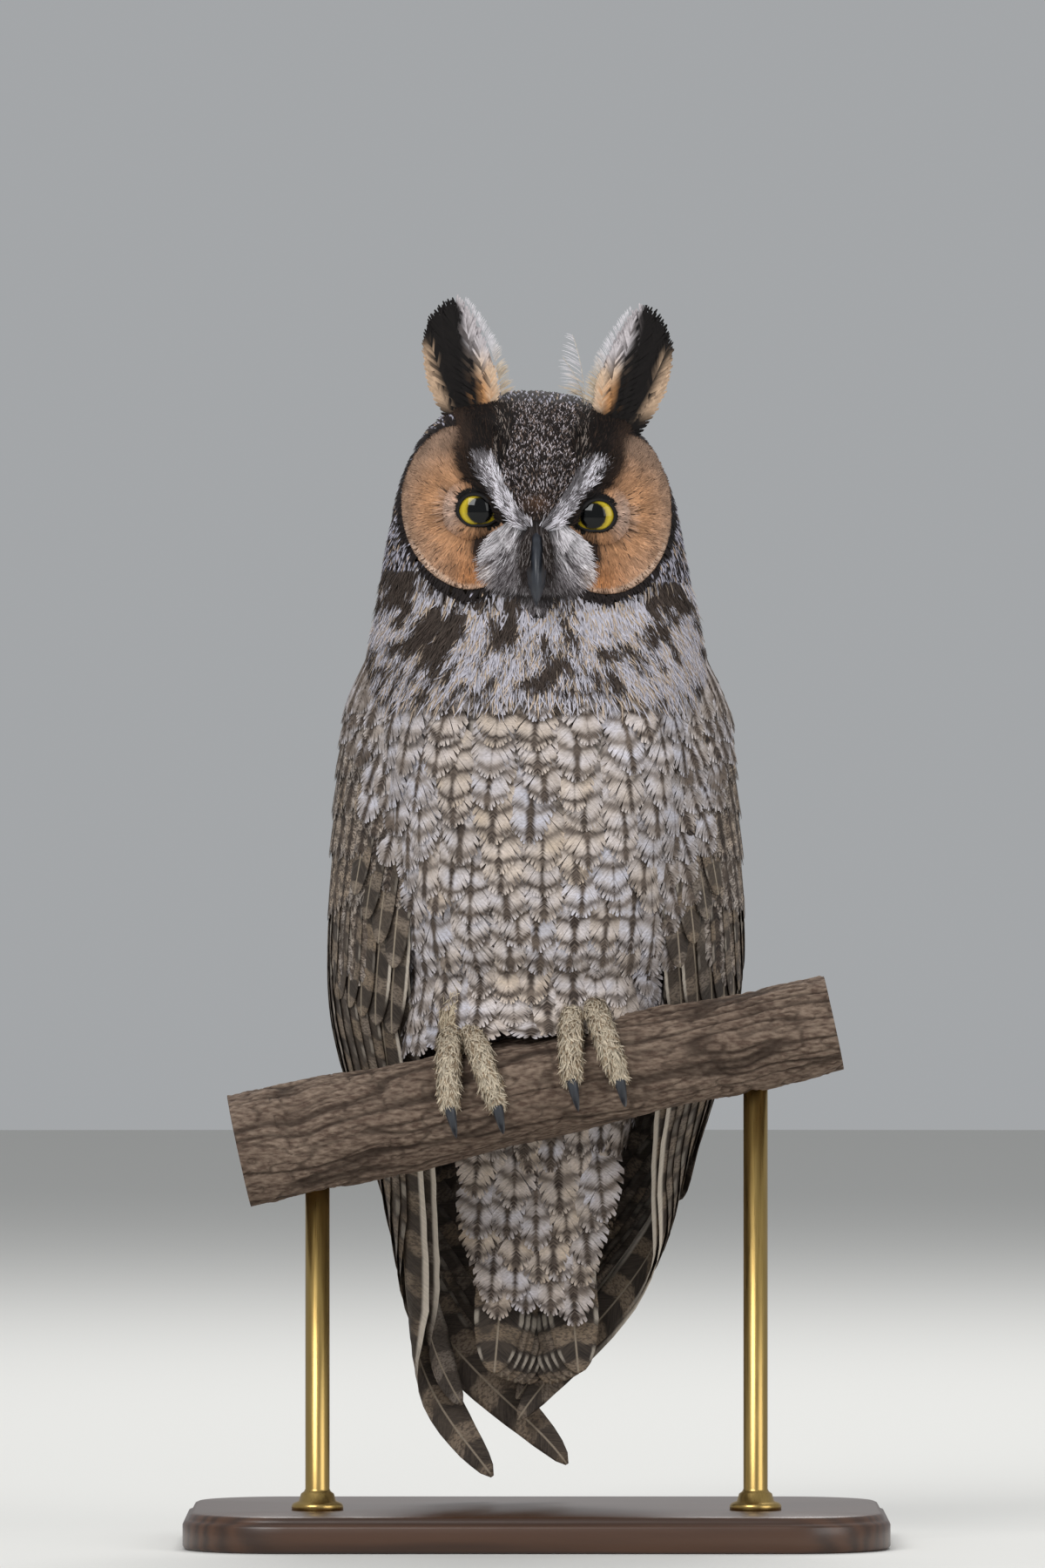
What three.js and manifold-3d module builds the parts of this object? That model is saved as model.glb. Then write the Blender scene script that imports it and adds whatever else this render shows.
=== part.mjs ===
// A long-eared owl, life size, perched upright on a cut length of branch that a plain display stand holds.
// Millimetres, +Z up. The owl faces -Y, and its own left side is +X. The origin is under the middle of the
// base.
import * as THREE from "three";
import { mergeVertices } from "three/addons/utils/BufferGeometryUtils.js";
import Module from "manifold-3d";

const wasm = await Module();
wasm.setup();

const { Vector3 } = THREE;
const { clamp, lerp, degToRad, smoothstep } = THREE.MathUtils;

// Driving dimensions
const gap = 0.3; // between pieces that touch
const headTop = 379;
const chinHeight = 306;
const neckBottom = 291;
const torsoBottom = 150;
const headRoll = 0.045; // the head is tipped a little to its left: drop for each millimetre of X
const base = { length: 232, width: 150, thickness: 12, corner: 34, bevel: 1.5 };
const rod = { radius: 4, reach: 72, socket: 8 };
const perch = {
  length: 200,
  y: -25,
  height: 151,
  slope: degToRad(12.3),
  thickRadius: 18.6,
  thinRadius: 15.8,
};
const eye = { radius: 9.6, x: 19.3, y: -26.4, z: 339.4, outward: 0.1 };

// Body outline. Each row: height, half width, middle in Y, depth in front of the middle, depth behind it.
const bodyRows = [
  [100, 9, 27, 5, 7],
  [108, 17, 27, 10, 10],
  [122, 26, 27, 18, 14],
  [142, 34, 27, 22, 17],
  [162, 40, 26, 24, 19],
  [174, 43, 20, 27, 25],
  [181, 44.5, 12, 38, 33],
  [190, 46, 8, 47, 38],
  [205, 48.5, 5, 52, 41],
  [225, 51.5, 4, 56, 43],
  [245, 54.5, 3, 57, 46],
  [265, 56, 2, 54, 48],
  [282, 56.5, 2, 49, 47],
  [296, 55, 2, 44, 44],
  [308, 53, 2, 40, 42],
  [320, 50.8, 2, 40, 42],
  [333, 48, 2, 40, 42],
  [345, 45.5, 2, 38.5, 41],
  [355, 42, 2.5, 36, 38],
  [364, 37, 3.5, 31.5, 33],
  [371, 30, 4.5, 25, 27],
  [376, 21, 5.5, 17.5, 19],
  [379, 10, 6, 8.5, 9],
];

// Folded wing, outer face. Each row: height, half width, middle in Y, depth in front, depth behind.
// The right wing hangs straighter, so it is wider near its tip.
const upperWing = [
  [100, 46, 27, 16, 21],
  [125, 51, 25, 21, 25],
  [150, 59, 22, 28, 29],
  [175, 66, 20, 36, 33],
  [200, 68.3, 18, 48, 36],
  [225, 68, 16, 51, 37],
  [250, 66.3, 12, 49, 39],
  [270, 64, 8, 45, 40],
  [283, 61, 5, 42, 43],
  [291, 57.9, 3.5, 42.5, 44],
];
const wingRows = {
  left: [
    [16, 20, 34, 6, 6],
    [40, 27, 33, 8, 9],
    [60, 33, 31, 10, 13],
    [80, 39.5, 29, 13, 17],
    ...upperWing,
  ],
  right: [
    [16, 24, 34, 6, 6],
    [40, 36, 33, 8, 9],
    [60, 41, 31, 10, 13],
    [80, 43.5, 29, 13, 17],
    ...upperWing,
  ],
};

function profile(rows) {
  const last = rows.length - 1;
  const row = (k) => rows[clamp(k, 0, last)];
  return (height) => {
    let i = 0;
    while (i < last - 1 && height > rows[i + 1][0]) i++;
    const span = rows[i + 1][0] - rows[i][0];
    const t = clamp((height - rows[i][0]) / span, 0, 1);
    return rows[i].slice(1).map((start, column) => {
      const c = column + 1;
      const end = rows[i + 1][c];
      const slopeAt = (k) =>
        (row(k + 1)[c] - row(k - 1)[c]) / (row(k + 1)[0] - row(k - 1)[0]);
      const rise = (t * t * t - 2 * t * t + t) * span * slopeAt(i);
      const fall = (t * t * t - t * t) * span * slopeAt(i + 1);
      const s = t * t * (3 - 2 * t);
      return start * (1 - s) + end * s + rise + fall;
    });
  };
}

const bodyAt = profile(bodyRows);
const wings = {
  left: { side: 1, at: profile(wingRows.left), crossing: 0 },
  right: { side: -1, at: profile(wingRows.right), crossing: 5.5 },
};

// The face, in the plane of X and Z: two hollow discs with raised rims, a bridge between them and brows.
const disc = { x: 24.6, z: 340.5, halfWidth: 19.4, halfHeight: 26.5, lean: 0.1 };
const face = {
  hollow: 3.2,
  rim: 1.8,
  bridge: 3.4,
  bridgeWidth: 7,
  brow: 2.6,
  browStart: 3,
  browRise: 1.25,
};

function discRadius(x, z) {
  const across = (Math.abs(x) - disc.x - (z - disc.z) * disc.lean) / disc.halfWidth;
  return Math.hypot(across, (z - disc.z) / disc.halfHeight);
}

const bump = (x, middle, width) => Math.exp(-(((x - middle) / width) ** 2));

function faceRelief(x, z) {
  const r = discRadius(x, z);
  const hollow = -face.hollow * (1 - smoothstep(r, 0.25, 0.95));
  const rim = face.rim * bump(r, 1.08, 0.14);
  const height = smoothstep(z, 312, 322) * (1 - smoothstep(z, 352, 364));
  const bridge = face.bridge * bump(x, 0, face.bridgeWidth) * height;
  const browLine = 330 + (Math.abs(x) - face.browStart) * face.browRise;
  const browReach = smoothstep(Math.abs(x), face.browStart, 8) * (1 - smoothstep(Math.abs(x), 22, 29));
  const brow = face.brow * bump(z, browLine, 4.5) * browReach;
  return hollow + rim + bridge + brow;
}

const roll = (point) => {
  point.z -= headRoll * point.x * smoothstep(point.z, chinHeight, chinHeight + 14);
  return point;
};

// A point on the body's surface. Angle 0 is the owl's left side, 90 degrees its back and -90 its front.
function bodyPoint(angle, height, grow = 0) {
  const [half, middle, front, behind] = bodyAt(height);
  const c = Math.cos(angle);
  const s = Math.sin(angle);
  const x = (half + grow) * c;
  let y = middle + (s < 0 ? front + grow : behind + grow) * s;
  if (height > chinHeight && s < 0) {
    const facing = smoothstep(-s, 0.12, 0.5) * smoothstep(height, chinHeight, chinHeight + 5);
    y -= faceRelief(x, height) * facing;
  }
  return roll(new Vector3(x, y, height));
}

// A point over the folded wing's outer face, lifted off it. The angle runs from its front edge round to its
// back.
function wingPoint(wing, angle, height, lift = 0) {
  const [half, middle, front, behind] = wing.at(height);
  const c = Math.cos(angle);
  const s = Math.sin(angle);
  const depth = s < 0 ? front : behind;
  return new Vector3(wing.side * (half + lift) * c, middle + (depth + lift) * s, height);
}

function wingAngle(wing, point) {
  const [half, middle, front, behind] = wing.at(point.z);
  const depth = point.y < middle ? front : behind;
  return Math.atan2((point.y - middle) / depth, (wing.side * point.x) / half);
}

// Solids from grids of points

function solid(positions, faces) {
  const geometry = new THREE.BufferGeometry();
  const flat = positions.flatMap((p) => [p.x, p.y, p.z]);
  geometry.setAttribute("position", new THREE.Float32BufferAttribute(flat, 3));
  geometry.setIndex(faces.flat());
  return solidOf(geometry);
}

function solidOf(geometry) {
  const bare = geometry.clone();
  bare.deleteAttribute("normal");
  bare.deleteAttribute("uv");
  const merged = mergeVertices(bare, 1e-4);
  const made = new wasm.Manifold(
    new wasm.Mesh({
      numProp: 3,
      vertProperties: new Float32Array(merged.attributes.position.array),
      triVerts: new Uint32Array(merged.index.array),
    }),
  );
  return made;
}

// Rings of equal length, joined in turn and closed at both ends by a point or by a fan. A plate's rings run
// out on one face and back on the other, and both faces are split the same way.
function loft(rings, startPoint, endPoint, plate = false) {
  const count = rings[0].length;
  const points = rings.flat();
  const faces = [];
  for (let i = 0; i < rings.length - 1; i++)
    for (let j = 0; j < count; j++) {
      const next = (j + 1) % count;
      const a = i * count + j;
      const b = i * count + next;
      const c = a + count;
      const d = b + count;
      if (plate && j >= count / 2) faces.push([a, b, c], [b, d, c]);
      else faces.push([a, b, d], [a, d, c]);
    }
  const middle = (ring) =>
    ring.reduce((sum, p) => sum.add(p), new Vector3()).divideScalar(ring.length);
  points.push(startPoint ?? middle(rings[0]), endPoint ?? middle(rings.at(-1)));
  const start = points.length - 2;
  const lastRing = (rings.length - 1) * count;
  for (let j = 0; j < count; j++) {
    const next = (j + 1) % count;
    faces.push([next, j, start], [lastRing + j, lastRing + next, start + 1]);
  }
  const made = solid(points, faces);
  return made.volume() < 0 ? solid(points, faces.map(([a, b, c]) => [a, c, b])) : made;
}

// A horizontal slice of the body, from one height to another.
function bodySlice(low, high, rings, segments, grow = 0, bunch = 0) {
  const heights = Array.from({ length: rings }, (_, i) => lerp(low, high, i / (rings - 1)));
  const stack = heights.map((height) =>
    Array.from({ length: segments }, (_, j) => {
      const even = (j / segments) * Math.PI * 2 - Math.PI / 2;
      const angle = even - bunch * Math.sin(even + Math.PI / 2);
      return bodyPoint(angle, height, grow);
    }),
  );
  return loft(stack);
}

// A round tube through centre points, with a radius at each.
function tube(centres, radii, sides, tipPoint) {
  const path = new THREE.CatmullRomCurve3(centres);
  const count = centres.length;
  const rings = centres.map((centre, i) => {
    const tangent = path.getTangent(i / (count - 1));
    const across = new Vector3(0, 0, 1).cross(tangent);
    if (across.length() < 0.2) across.set(1, 0, 0).cross(tangent);
    across.normalize();
    const up = tangent.clone().cross(across).normalize();
    return Array.from({ length: sides }, (_, j) => {
      const turn = (j / sides) * Math.PI * 2;
      return centre
        .clone()
        .addScaledVector(across, radii[i] * Math.cos(turn))
        .addScaledVector(up, radii[i] * Math.sin(turn));
    });
  });
  return loft(rings, undefined, tipPoint);
}

// Feathers

const vaneThickness = 0.55;
const longStations = [0, 0.3, 0.62, 0.88];
const shortStations = [0, 0.45, 0.84];
const flightHeights = [166, 134, 112, 92, 76, 60]; // heights at which neighbouring flight feathers bend
// Share of the half width: half at the root, full past the middle and rounded off at the tip.
const vaneWidth = (t) => {
  const rounding = Math.max(0, (t - 0.6) / 0.4) ** 2.4;
  return lerp(0.5, 1, smoothstep(t, 0, 0.5)) * Math.sqrt(1 - rounding);
};

// The section of a vane: a thin plate, bent along its shaft where the feather is a broad one.
function vaneRing(broad, place) {
  const half = vaneThickness / 2;
  const shares = broad ? [-1, 0, 1] : [-1, 1];
  const outer = shares.map((share) => place(share, half));
  const inner = shares.map((share) => place(share, -half)).reverse();
  return [...outer, ...inner];
}

// A vane along a curve. normalAt gives the way it faces, tilt lifts its leading edge over its neighbour,
// and round bends it across its width to lie on what is under it.
function vane({ curve, normalAt, leading, halfWidth, tilt, round, stations, broad = true }) {
  const rings = stations.map((t) => {
    const centre = curve.getPoint(t);
    const tangent = curve.getTangent(t);
    const normal = normalAt(t);
    const across = tangent.clone().cross(normal).normalize();
    if (across.dot(leading) < 0) across.negate();
    const out = across.clone().cross(tangent).normalize();
    if (out.dot(normal) < 0) out.negate();
    const width = halfWidth * vaneWidth(t);
    return vaneRing(broad, (share, rise) => {
      const s = share * width;
      const height = tilt * s - (s * s) / (2 * round) + rise;
      return centre.clone().addScaledVector(across, s).addScaledVector(out, height);
    });
  });
  return loft(rings, undefined, curve.getPoint(1), true);
}

// A vane laid on the folded wing's outer face. Root and tip are each an angle in degrees and a height, and
// late above 1 keeps the sweep toward the back for the tip. Lifts are how far root and tip stand off the
// face.
function wingVane(wing, { root, tip, lifts, halfWidth, late = 1, tilt = 0.16, stations, broad }) {
  const step = 0.02;
  const angleAt = (t) => degToRad(lerp(root[0], tip[0], Math.max(t, 0) ** late));
  const centre = (t) => wingPoint(wing, angleAt(t), lerp(root[1], tip[1], t));
  const rings = stations.map((t) => {
    const here = centre(t);
    const along = centre(t + step).sub(centre(t - step)).normalize();
    const leading = wingPoint(wing, angleAt(t) - step, here.z).sub(here).normalize();
    const across = leading.addScaledVector(along, -leading.dot(along)).normalize();
    const width = halfWidth * vaneWidth(t);
    return vaneRing(broad, (share, rise) => {
      const beside = here.clone().addScaledVector(across, share * width);
      const lift = lerp(lifts[0], lifts[1], t) + tilt * share * width + rise;
      return wingPoint(wing, wingAngle(wing, beside), beside.z, lift);
    });
  });
  return loft(rings, undefined, wingPoint(wing, angleAt(1), tip[1], lifts[1]), true);
}

// Angles at even distances along the wing's face at one height, in degrees.
function evenAngles(wing, from, to, height, count) {
  const steps = 60;
  const places = Array.from({ length: steps + 1 }, (_, i) => lerp(from, to, i / steps));
  const lengths = [0];
  for (let i = 1; i <= steps; i++) {
    const here = wingPoint(wing, degToRad(places[i]), height);
    const before = wingPoint(wing, degToRad(places[i - 1]), height);
    lengths.push(lengths[i - 1] + here.distanceTo(before));
  }
  return Array.from({ length: count }, (_, k) => {
    const wanted = (lengths[steps] * k) / (count - 1);
    const i = Math.min(lengths.findIndex((length) => length >= wanted - 1e-9), steps);
    return places[i];
  });
}

// Fuses pieces, cuts others away and keeps the largest body that is left.
function fuse(pieces, cuts = []) {
  let made = wasm.Manifold.union(pieces);
  for (const cut of cuts) made = made.subtract(cut);
  return made.decompose().reduce((best, one) => (one.volume() > best.volume() ? one : best));
}

const object = new THREE.Group();

function addNode(name, made, look) {
  const { vertProperties, triVerts, numProp } = made.getMesh();
  const geometry = new THREE.BufferGeometry();
  const array = new Float32Array((vertProperties.length / numProp) * 3);
  for (let i = 0; i < array.length / 3; i++)
    array.set(vertProperties.subarray(i * numProp, i * numProp + 3), i * 3);
  geometry.setAttribute("position", new THREE.BufferAttribute(array, 3));
  geometry.setIndex(new THREE.BufferAttribute(triVerts, 1));
  geometry.computeVertexNormals();
  const mesh = new THREE.Mesh(geometry, new THREE.MeshStandardMaterial(look));
  mesh.name = name;
  object.add(mesh);
}

const looks = {
  barred: { color: 0x8a8078, roughness: 0.95, metalness: 0 },
  mottled: { color: 0x5f554b, roughness: 0.9, metalness: 0 },
  tawny: { color: 0xb98552, roughness: 0.95, metalness: 0 },
  tuft: { color: 0x2a2320, roughness: 0.9, metalness: 0 },
  eye: { color: 0xd8c21c, roughness: 0.08, metalness: 0 },
  lid: { color: 0x1d1a19, roughness: 0.7, metalness: 0 },
  horn: { color: 0x2e3036, roughness: 0.4, metalness: 0 },
  foot: { color: 0xb9a78e, roughness: 0.95, metalness: 0 },
  bark: { color: 0x6b5140, roughness: 0.95, metalness: 0 },
  wood: { color: 0x4a3426, roughness: 0.45, metalness: 0 },
  brass: { color: 0x9c8350, roughness: 0.35, metalness: 1 },
};

const sides = { left: 1, right: -1 };

// Perch, rods and base

const perchAt = (x) => new Vector3(x, perch.y, perch.height + x * Math.tan(perch.slope));
const perchEnd = (perch.length / 2) * Math.cos(perch.slope);
const perchRadius = (x) =>
  lerp(perch.thickRadius, perch.thinRadius, (x + perchEnd) / (2 * perchEnd));
const perchUp = new Vector3(-Math.sin(perch.slope), 0, Math.cos(perch.slope));

// How far the bark stands off a true cylinder. It is smooth where the feet grip.
function barkRise(x, turn) {
  const ridges = 0.5 * Math.sin(turn * 5 + x * 0.05) + 0.4 * Math.sin(turn * 3 - x * 0.11);
  const knot = 3.2 * bump(x, -62, 8) * Math.max(0, Math.cos(turn - 2.2)) ** 3;
  return ridges + knot;
}

function perchSolid(grow = 0, rings = 12, sidesRound = 14) {
  const stack = Array.from({ length: rings }, (_, i) => {
    const x = lerp(-perchEnd, perchEnd, i / (rings - 1));
    return Array.from({ length: sidesRound }, (_, j) => {
      const turn = (j / sidesRound) * Math.PI * 2;
      const radius = perchRadius(x) + barkRise(x, turn) + grow;
      return perchAt(x)
        .addScaledVector(perchUp, radius * Math.cos(turn))
        .add(new Vector3(0, radius * Math.sin(turn), 0));
    });
  });
  return loft(stack);
}

function uprightCylinder(radius, low, high, x, y, sidesRound = 12) {
  const geometry = new THREE.CylinderGeometry(radius, radius, high - low, sidesRound);
  geometry.rotateX(Math.PI / 2);
  geometry.translate(x, y, (low + high) / 2);
  return solidOf(geometry);
}

function baseSolid() {
  const { length, width, thickness, corner, bevel } = base;
  const x = length / 2 - bevel;
  const y = width / 2 - bevel;
  const r = corner;
  const outline = new THREE.Shape();
  outline.moveTo(-x + r, -y).lineTo(x - r, -y).absarc(x - r, -y + r, r, -Math.PI / 2, 0);
  outline.lineTo(x, y - r).absarc(x - r, y - r, r, 0, Math.PI / 2);
  outline.lineTo(-x + r, y).absarc(-x + r, y - r, r, Math.PI / 2, Math.PI);
  outline.lineTo(-x, -y + r).absarc(-x + r, -y + r, r, Math.PI, Math.PI * 1.5);
  const geometry = new THREE.ExtrudeGeometry(outline, {
    depth: thickness - 2 * bevel,
    bevelThickness: bevel,
    bevelSize: bevel,
    bevelSegments: 1,
    curveSegments: 4,
  });
  geometry.translate(0, 0, bevel);
  return solidOf(geometry);
}

function makeStand() {
  const rodSocketDepth = 6;
  let branch = perchSolid();
  let plate = baseSolid();
  for (const [name, side] of Object.entries(sides)) {
    const x = side * rod.reach;
    const underside = perchAt(x).z - perchRadius(x) / Math.cos(perch.slope);
    const top = underside + rod.socket;
    const bottom = base.thickness - rodSocketDepth;
    branch = branch.subtract(uprightCylinder(rod.radius + gap, bottom, top + gap, x, perch.y));
    plate = plate.subtract(
      uprightCylinder(rod.radius + gap, bottom - gap, base.thickness + 5, x, perch.y),
    );
    addNode(`stand_rod_${name}`, uprightCylinder(rod.radius, bottom, top, x, perch.y), looks.brass);
  }
  addNode("perch", branch, looks.bark);
  addNode("stand_base", plate, looks.wood);
}

// Head, face, eyes, beak and ear tufts

const eyeCentre = (side) => roll(new Vector3(side * eye.x, eye.y, eye.z));
const eyeAxis = (side) => new Vector3(side * eye.outward, -1, 0).normalize();

function sphere(radius, centre, across, down) {
  const geometry = new THREE.SphereGeometry(radius, across, down);
  geometry.translate(centre.x, centre.y, centre.z);
  return solidOf(geometry);
}

// The lids are a ring round the eye that leaves a round opening, cut lower along the brow. Angles are in
// degrees from the eye's axis.
const lid = { height: 2.3, open: 48, browDrop: 9, back: 72, sides: 16 };

function lidRing(side, grow = 0) {
  const inner = eye.radius + (grow > 0 ? -1 : 2 * gap);
  const outer = eye.radius + lid.height + grow;
  const axis = eyeAxis(side);
  const right = new Vector3(0, 0, 1).cross(axis).normalize();
  const up = axis.clone().cross(right).normalize();
  const count = lid.sides;
  const centre = eyeCentre(side);
  const place = (radius, fromAxis, turn) =>
    centre
      .clone()
      .addScaledVector(axis, radius * Math.cos(fromAxis))
      .addScaledVector(right, radius * Math.sin(fromAxis) * Math.cos(turn))
      .addScaledVector(up, radius * Math.sin(fromAxis) * Math.sin(turn));
  const points = [];
  const faces = [];
  for (let j = 0; j < count; j++) {
    const turn = (j / count) * Math.PI * 2;
    const towardBeak = right.x * side < 0 ? Math.cos(turn) : -Math.cos(turn);
    const brow = Math.max(0, Math.sin(turn) * 0.8 + towardBeak * 0.6) ** 2;
    const open = degToRad(lid.open - lid.browDrop * brow);
    const back = degToRad(lid.back);
    const widen = grow / eye.radius;
    points.push(
      place(inner, open - (grow > 0 ? 0.5 : 0), turn),
      place(outer - 0.9, open - 0.02 - widen, turn),
      place(outer, lerp(open, back, 0.45), turn),
      place(outer, back + widen, turn),
      place(inner, back + widen, turn),
    );
  }
  for (let j = 0; j < count; j++)
    for (let k = 0; k < 5; k++) {
      const a = j * 5 + k;
      const b = j * 5 + ((k + 1) % 5);
      const c = ((j + 1) % count) * 5 + k;
      const d = ((j + 1) % count) * 5 + ((k + 1) % 5);
      faces.push([a, b, d], [a, d, c]);
    }
  const made = solid(points, faces);
  return made.volume() < 0 ? solid(points, faces.map(([a, b, c]) => [a, c, b])) : made;
}

// An upright oval prism through the face, which parts the disc from the head.
function discPrism(side, grow) {
  const count = 22;
  const front = -70;
  const back = -14;
  const ring = (y) =>
    Array.from({ length: count }, (_, j) => {
      const turn = (j / count) * Math.PI * 2;
      const up = Math.sin(turn) * (disc.halfHeight + grow);
      const out = Math.cos(turn) * (disc.halfWidth + grow) + up * disc.lean;
      return roll(new Vector3(side * (disc.x + out), y, disc.z + up));
    });
  return loft([ring(front), ring(back)]);
}

const beak = { squeeze: 0.92, ridge: 0.25, sides: 10 };
const nostril = { radius: 1.3, x: 3.6, y: -46, z: 327 };
const beakPath = [
  [0, -33, 329, 5.2],
  [0, -41, 327, 5],
  [0, -46.5, 321.5, 4.4],
  [0, -49.2, 315.5, 3.2],
  [0, -49.3, 311.3, 1.6],
];
const beakTip = new Vector3(0, -48.2, 308.4);

function beakUpper(grow = 0) {
  const rings = beakPath.map(([x, y, z, radius], i) => {
    const before = beakPath[Math.max(i - 1, 0)];
    const after = beakPath[Math.min(i + 1, beakPath.length - 1)];
    const along = new Vector3(0, after[1] - before[1], after[2] - before[2]).normalize();
    const up = new Vector3(0, along.z, -along.y);
    if (up.y > 0) up.negate();
    return Array.from({ length: beak.sides }, (_, j) => {
      const turn = (j / beak.sides) * Math.PI * 2;
      const ridge = 1 + beak.ridge * Math.max(0, Math.sin(turn)) ** 2;
      const wide = radius + grow;
      const beside = new Vector3(x + wide * beak.squeeze * Math.cos(turn), y, z);
      return beside.addScaledVector(up, wide * ridge * Math.sin(turn));
    });
  });
  const made = loft(rings, undefined, beakTip);
  if (grow > 0) return made;
  const nostrils = Object.values(sides).map((side) =>
    sphere(nostril.radius, new Vector3(side * nostril.x, nostril.y, nostril.z), 8, 6),
  );
  return fuse([made], nostrils);
}

function beakLower(grow = 0) {
  const path = [
    [0, -34, 316.5, 4.2, 3.0],
    [0, -39.5, 314.5, 3.6, 2.6],
    [0, -43.6, 312.2, 2.6, 1.8],
  ];
  const rings = path.map(([x, y, z, half, tall]) =>
    Array.from({ length: 8 }, (_, j) => {
      const turn = (j / 8) * Math.PI * 2;
      const across = (half + grow) * Math.cos(turn);
      return new Vector3(x + across, y, z + (tall + grow) * Math.sin(turn));
    }),
  );
  return loft(rings, undefined, new Vector3(0, -45.6, 311));
}

// Tips of one ear tuft's feathers, from its outer edge to its inner one, as distance out and height. The
// left tuft stands a little further out than the right.
const tuftTips = [
  [36.3, 391],
  [36.8, 399],
  [34.2, 405.5],
  [30.6, 409.5],
  [26.6, 411.2],
  [22.4, 405],
  [18.6, 397],
  [15.4, 389],
];
const tuft = {
  shift: { left: 6, right: 0 },
  lean: { left: 0.07, right: 0 },
  layer: 1.7,
  halfWidth: 4.7,
};

function earTuft(name, cuts) {
  const side = sides[name];
  const outward = (x, y, z) => {
    const lean = tuft.shift[name] + tuft.lean[name] * (z - 372);
    return roll(new Vector3(side * (x + lean), y, z));
  };
  const pieces = tuftTips.map(([x, z], k) => {
    const share = k / (tuftTips.length - 1);
    const layer = tuft.layer * ((k % 3) - 1);
    const rootX = lerp(28, 15.5, share);
    const rootY = lerp(-4.5, -9.5, share) + layer;
    const rootZ = lerp(361, 369, share);
    const tipY = rootY + 0.12 * (z - rootZ);
    const bulge = lerp(3.4, -0.6, share);
    const bow = outward((rootX + x) / 2 + bulge, (rootY + tipY) / 2 - 1.5, (rootZ + z) / 2);
    const root = outward(rootX, rootY, rootZ);
    const curve = new THREE.QuadraticBezierCurve3(root, bow, outward(x, tipY, z));
    const facing = new Vector3(side * lerp(0.25, -0.1, share), -1, -0.1).normalize();
    const leading = new Vector3(side, 0, 0);
    const options = { normalAt: () => facing, leading, tilt: 0, round: 14 };
    return vane({ curve, halfWidth: tuft.halfWidth, ...soft, ...options });
  });
  const core = new THREE.SphereGeometry(1, 10, 6);
  core.scale(9, 5.2, 8);
  const middle = outward(23, -5.5, 366);
  core.translate(middle.x, middle.y, middle.z);
  return fuse([solidOf(core), ...pieces], cuts);
}

const headSolid = (grow = 0) =>
  bodySlice(chinHeight + gap / 2 - grow, headTop + grow, 17, 34, grow, 0.35);

function makeHead() {
  const faceCuts = [beakUpper(gap), beakLower(gap)];
  for (const side of Object.values(sides))
    faceCuts.push(sphere(eye.radius + gap, eyeCentre(side), 16, 10), lidRing(side, gap));
  const head = headSolid();
  const prisms = Object.values(sides).map((side) => discPrism(side, gap / 2));
  addNode("head", fuse([head], [...prisms, ...faceCuts]), looks.mottled);
  for (const [name, side] of Object.entries(sides)) {
    const front = head.intersect(discPrism(side, -gap / 2));
    addNode(`facial_disc_${name}`, fuse([front], faceCuts), looks.tawny);
    addNode(`eye_${name}`, sphere(eye.radius, eyeCentre(side), 16, 10), looks.eye);
    addNode(`eyelids_${name}`, lidRing(side), looks.lid);
    addNode(`ear_tuft_${name}`, earTuft(name, [headSolid(gap)]), looks.tuft);
  }
  addNode("beak_upper", beakUpper(), looks.horn);
  addNode("beak_lower", fuse([beakLower()], [beakUpper(gap)]), looks.horn);
}

// Neck and torso

const torsoSolid = (grow = 0) =>
  bodySlice(torsoBottom + gap / 2, neckBottom - gap / 2, 13, 30, grow);

const torsoCuts = () => [torsoSolid(gap), torsoSolid(gap).translate([0, 0, -gap])];

function makeBody() {
  addNode("neck", bodySlice(neckBottom + gap / 2, chinHeight - gap / 2, 3, 32), looks.mottled);
  addNode("torso", torsoSolid(), looks.barred);
}

// Wings

// Front edge of each wing's core, in degrees at each height, and its back edge.
const wingFront = profile([[165, -40], [185, -46], [202, -50], [228, -46], [255, -36], [290, -14]]);
const wingBack = profile([[165, 84], [240, 84], [290, 66]]);

function wingCore(wing) {
  const heights = [165, 184, 204, 228, 250, 271, 284, 290];
  const outerCount = 9;
  const sunk = 1.2;
  const coreDepth = 24;
  const stack = heights.map((height, i) => {
    const close = i > heights.length - 3 ? 0.5 : sunk;
    const from = degToRad(wingFront(height)[0]);
    const to = degToRad(wingBack(height)[0]);
    const share = (j) => j / (outerCount - 1);
    const angles = Array.from({ length: outerCount }, (_, j) => lerp(from, to, share(j)));
    const outer = angles.map((angle) => wingPoint(wing, angle, height, -close));
    const inner = angles.map((angle) => wingPoint(wing, angle, height, -close - coreDepth));
    inner.reverse();
    return [...outer, ...inner];
  });
  return loft(stack);
}

// Tips of the primaries from the outermost in, as distance out from the midline and height. Those below 0
// cross to the other side.
const primaryTips = {
  left: [[8, 56], [-8, 39], [-8, 46], [-3, 55], [3, 68], [8, 82], [11, 96], [14, 110]],
  right: [[30, 44], [14.6, 20], [-10, 24], [-4, 34], [1, 51], [5, 70], [8, 88], [12, 106]],
};
// Primaries lie in steps, each a layer over the one before it, and hang lower at the root than at the tip.
const primary = { rootZ: 205, angles: [-38, 6], late: 2.3, halfWidth: 9.4, tilt: 0.1 };
const primaryLift = { root: -10, tip: -6.6, layer: 1.05 };

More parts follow.
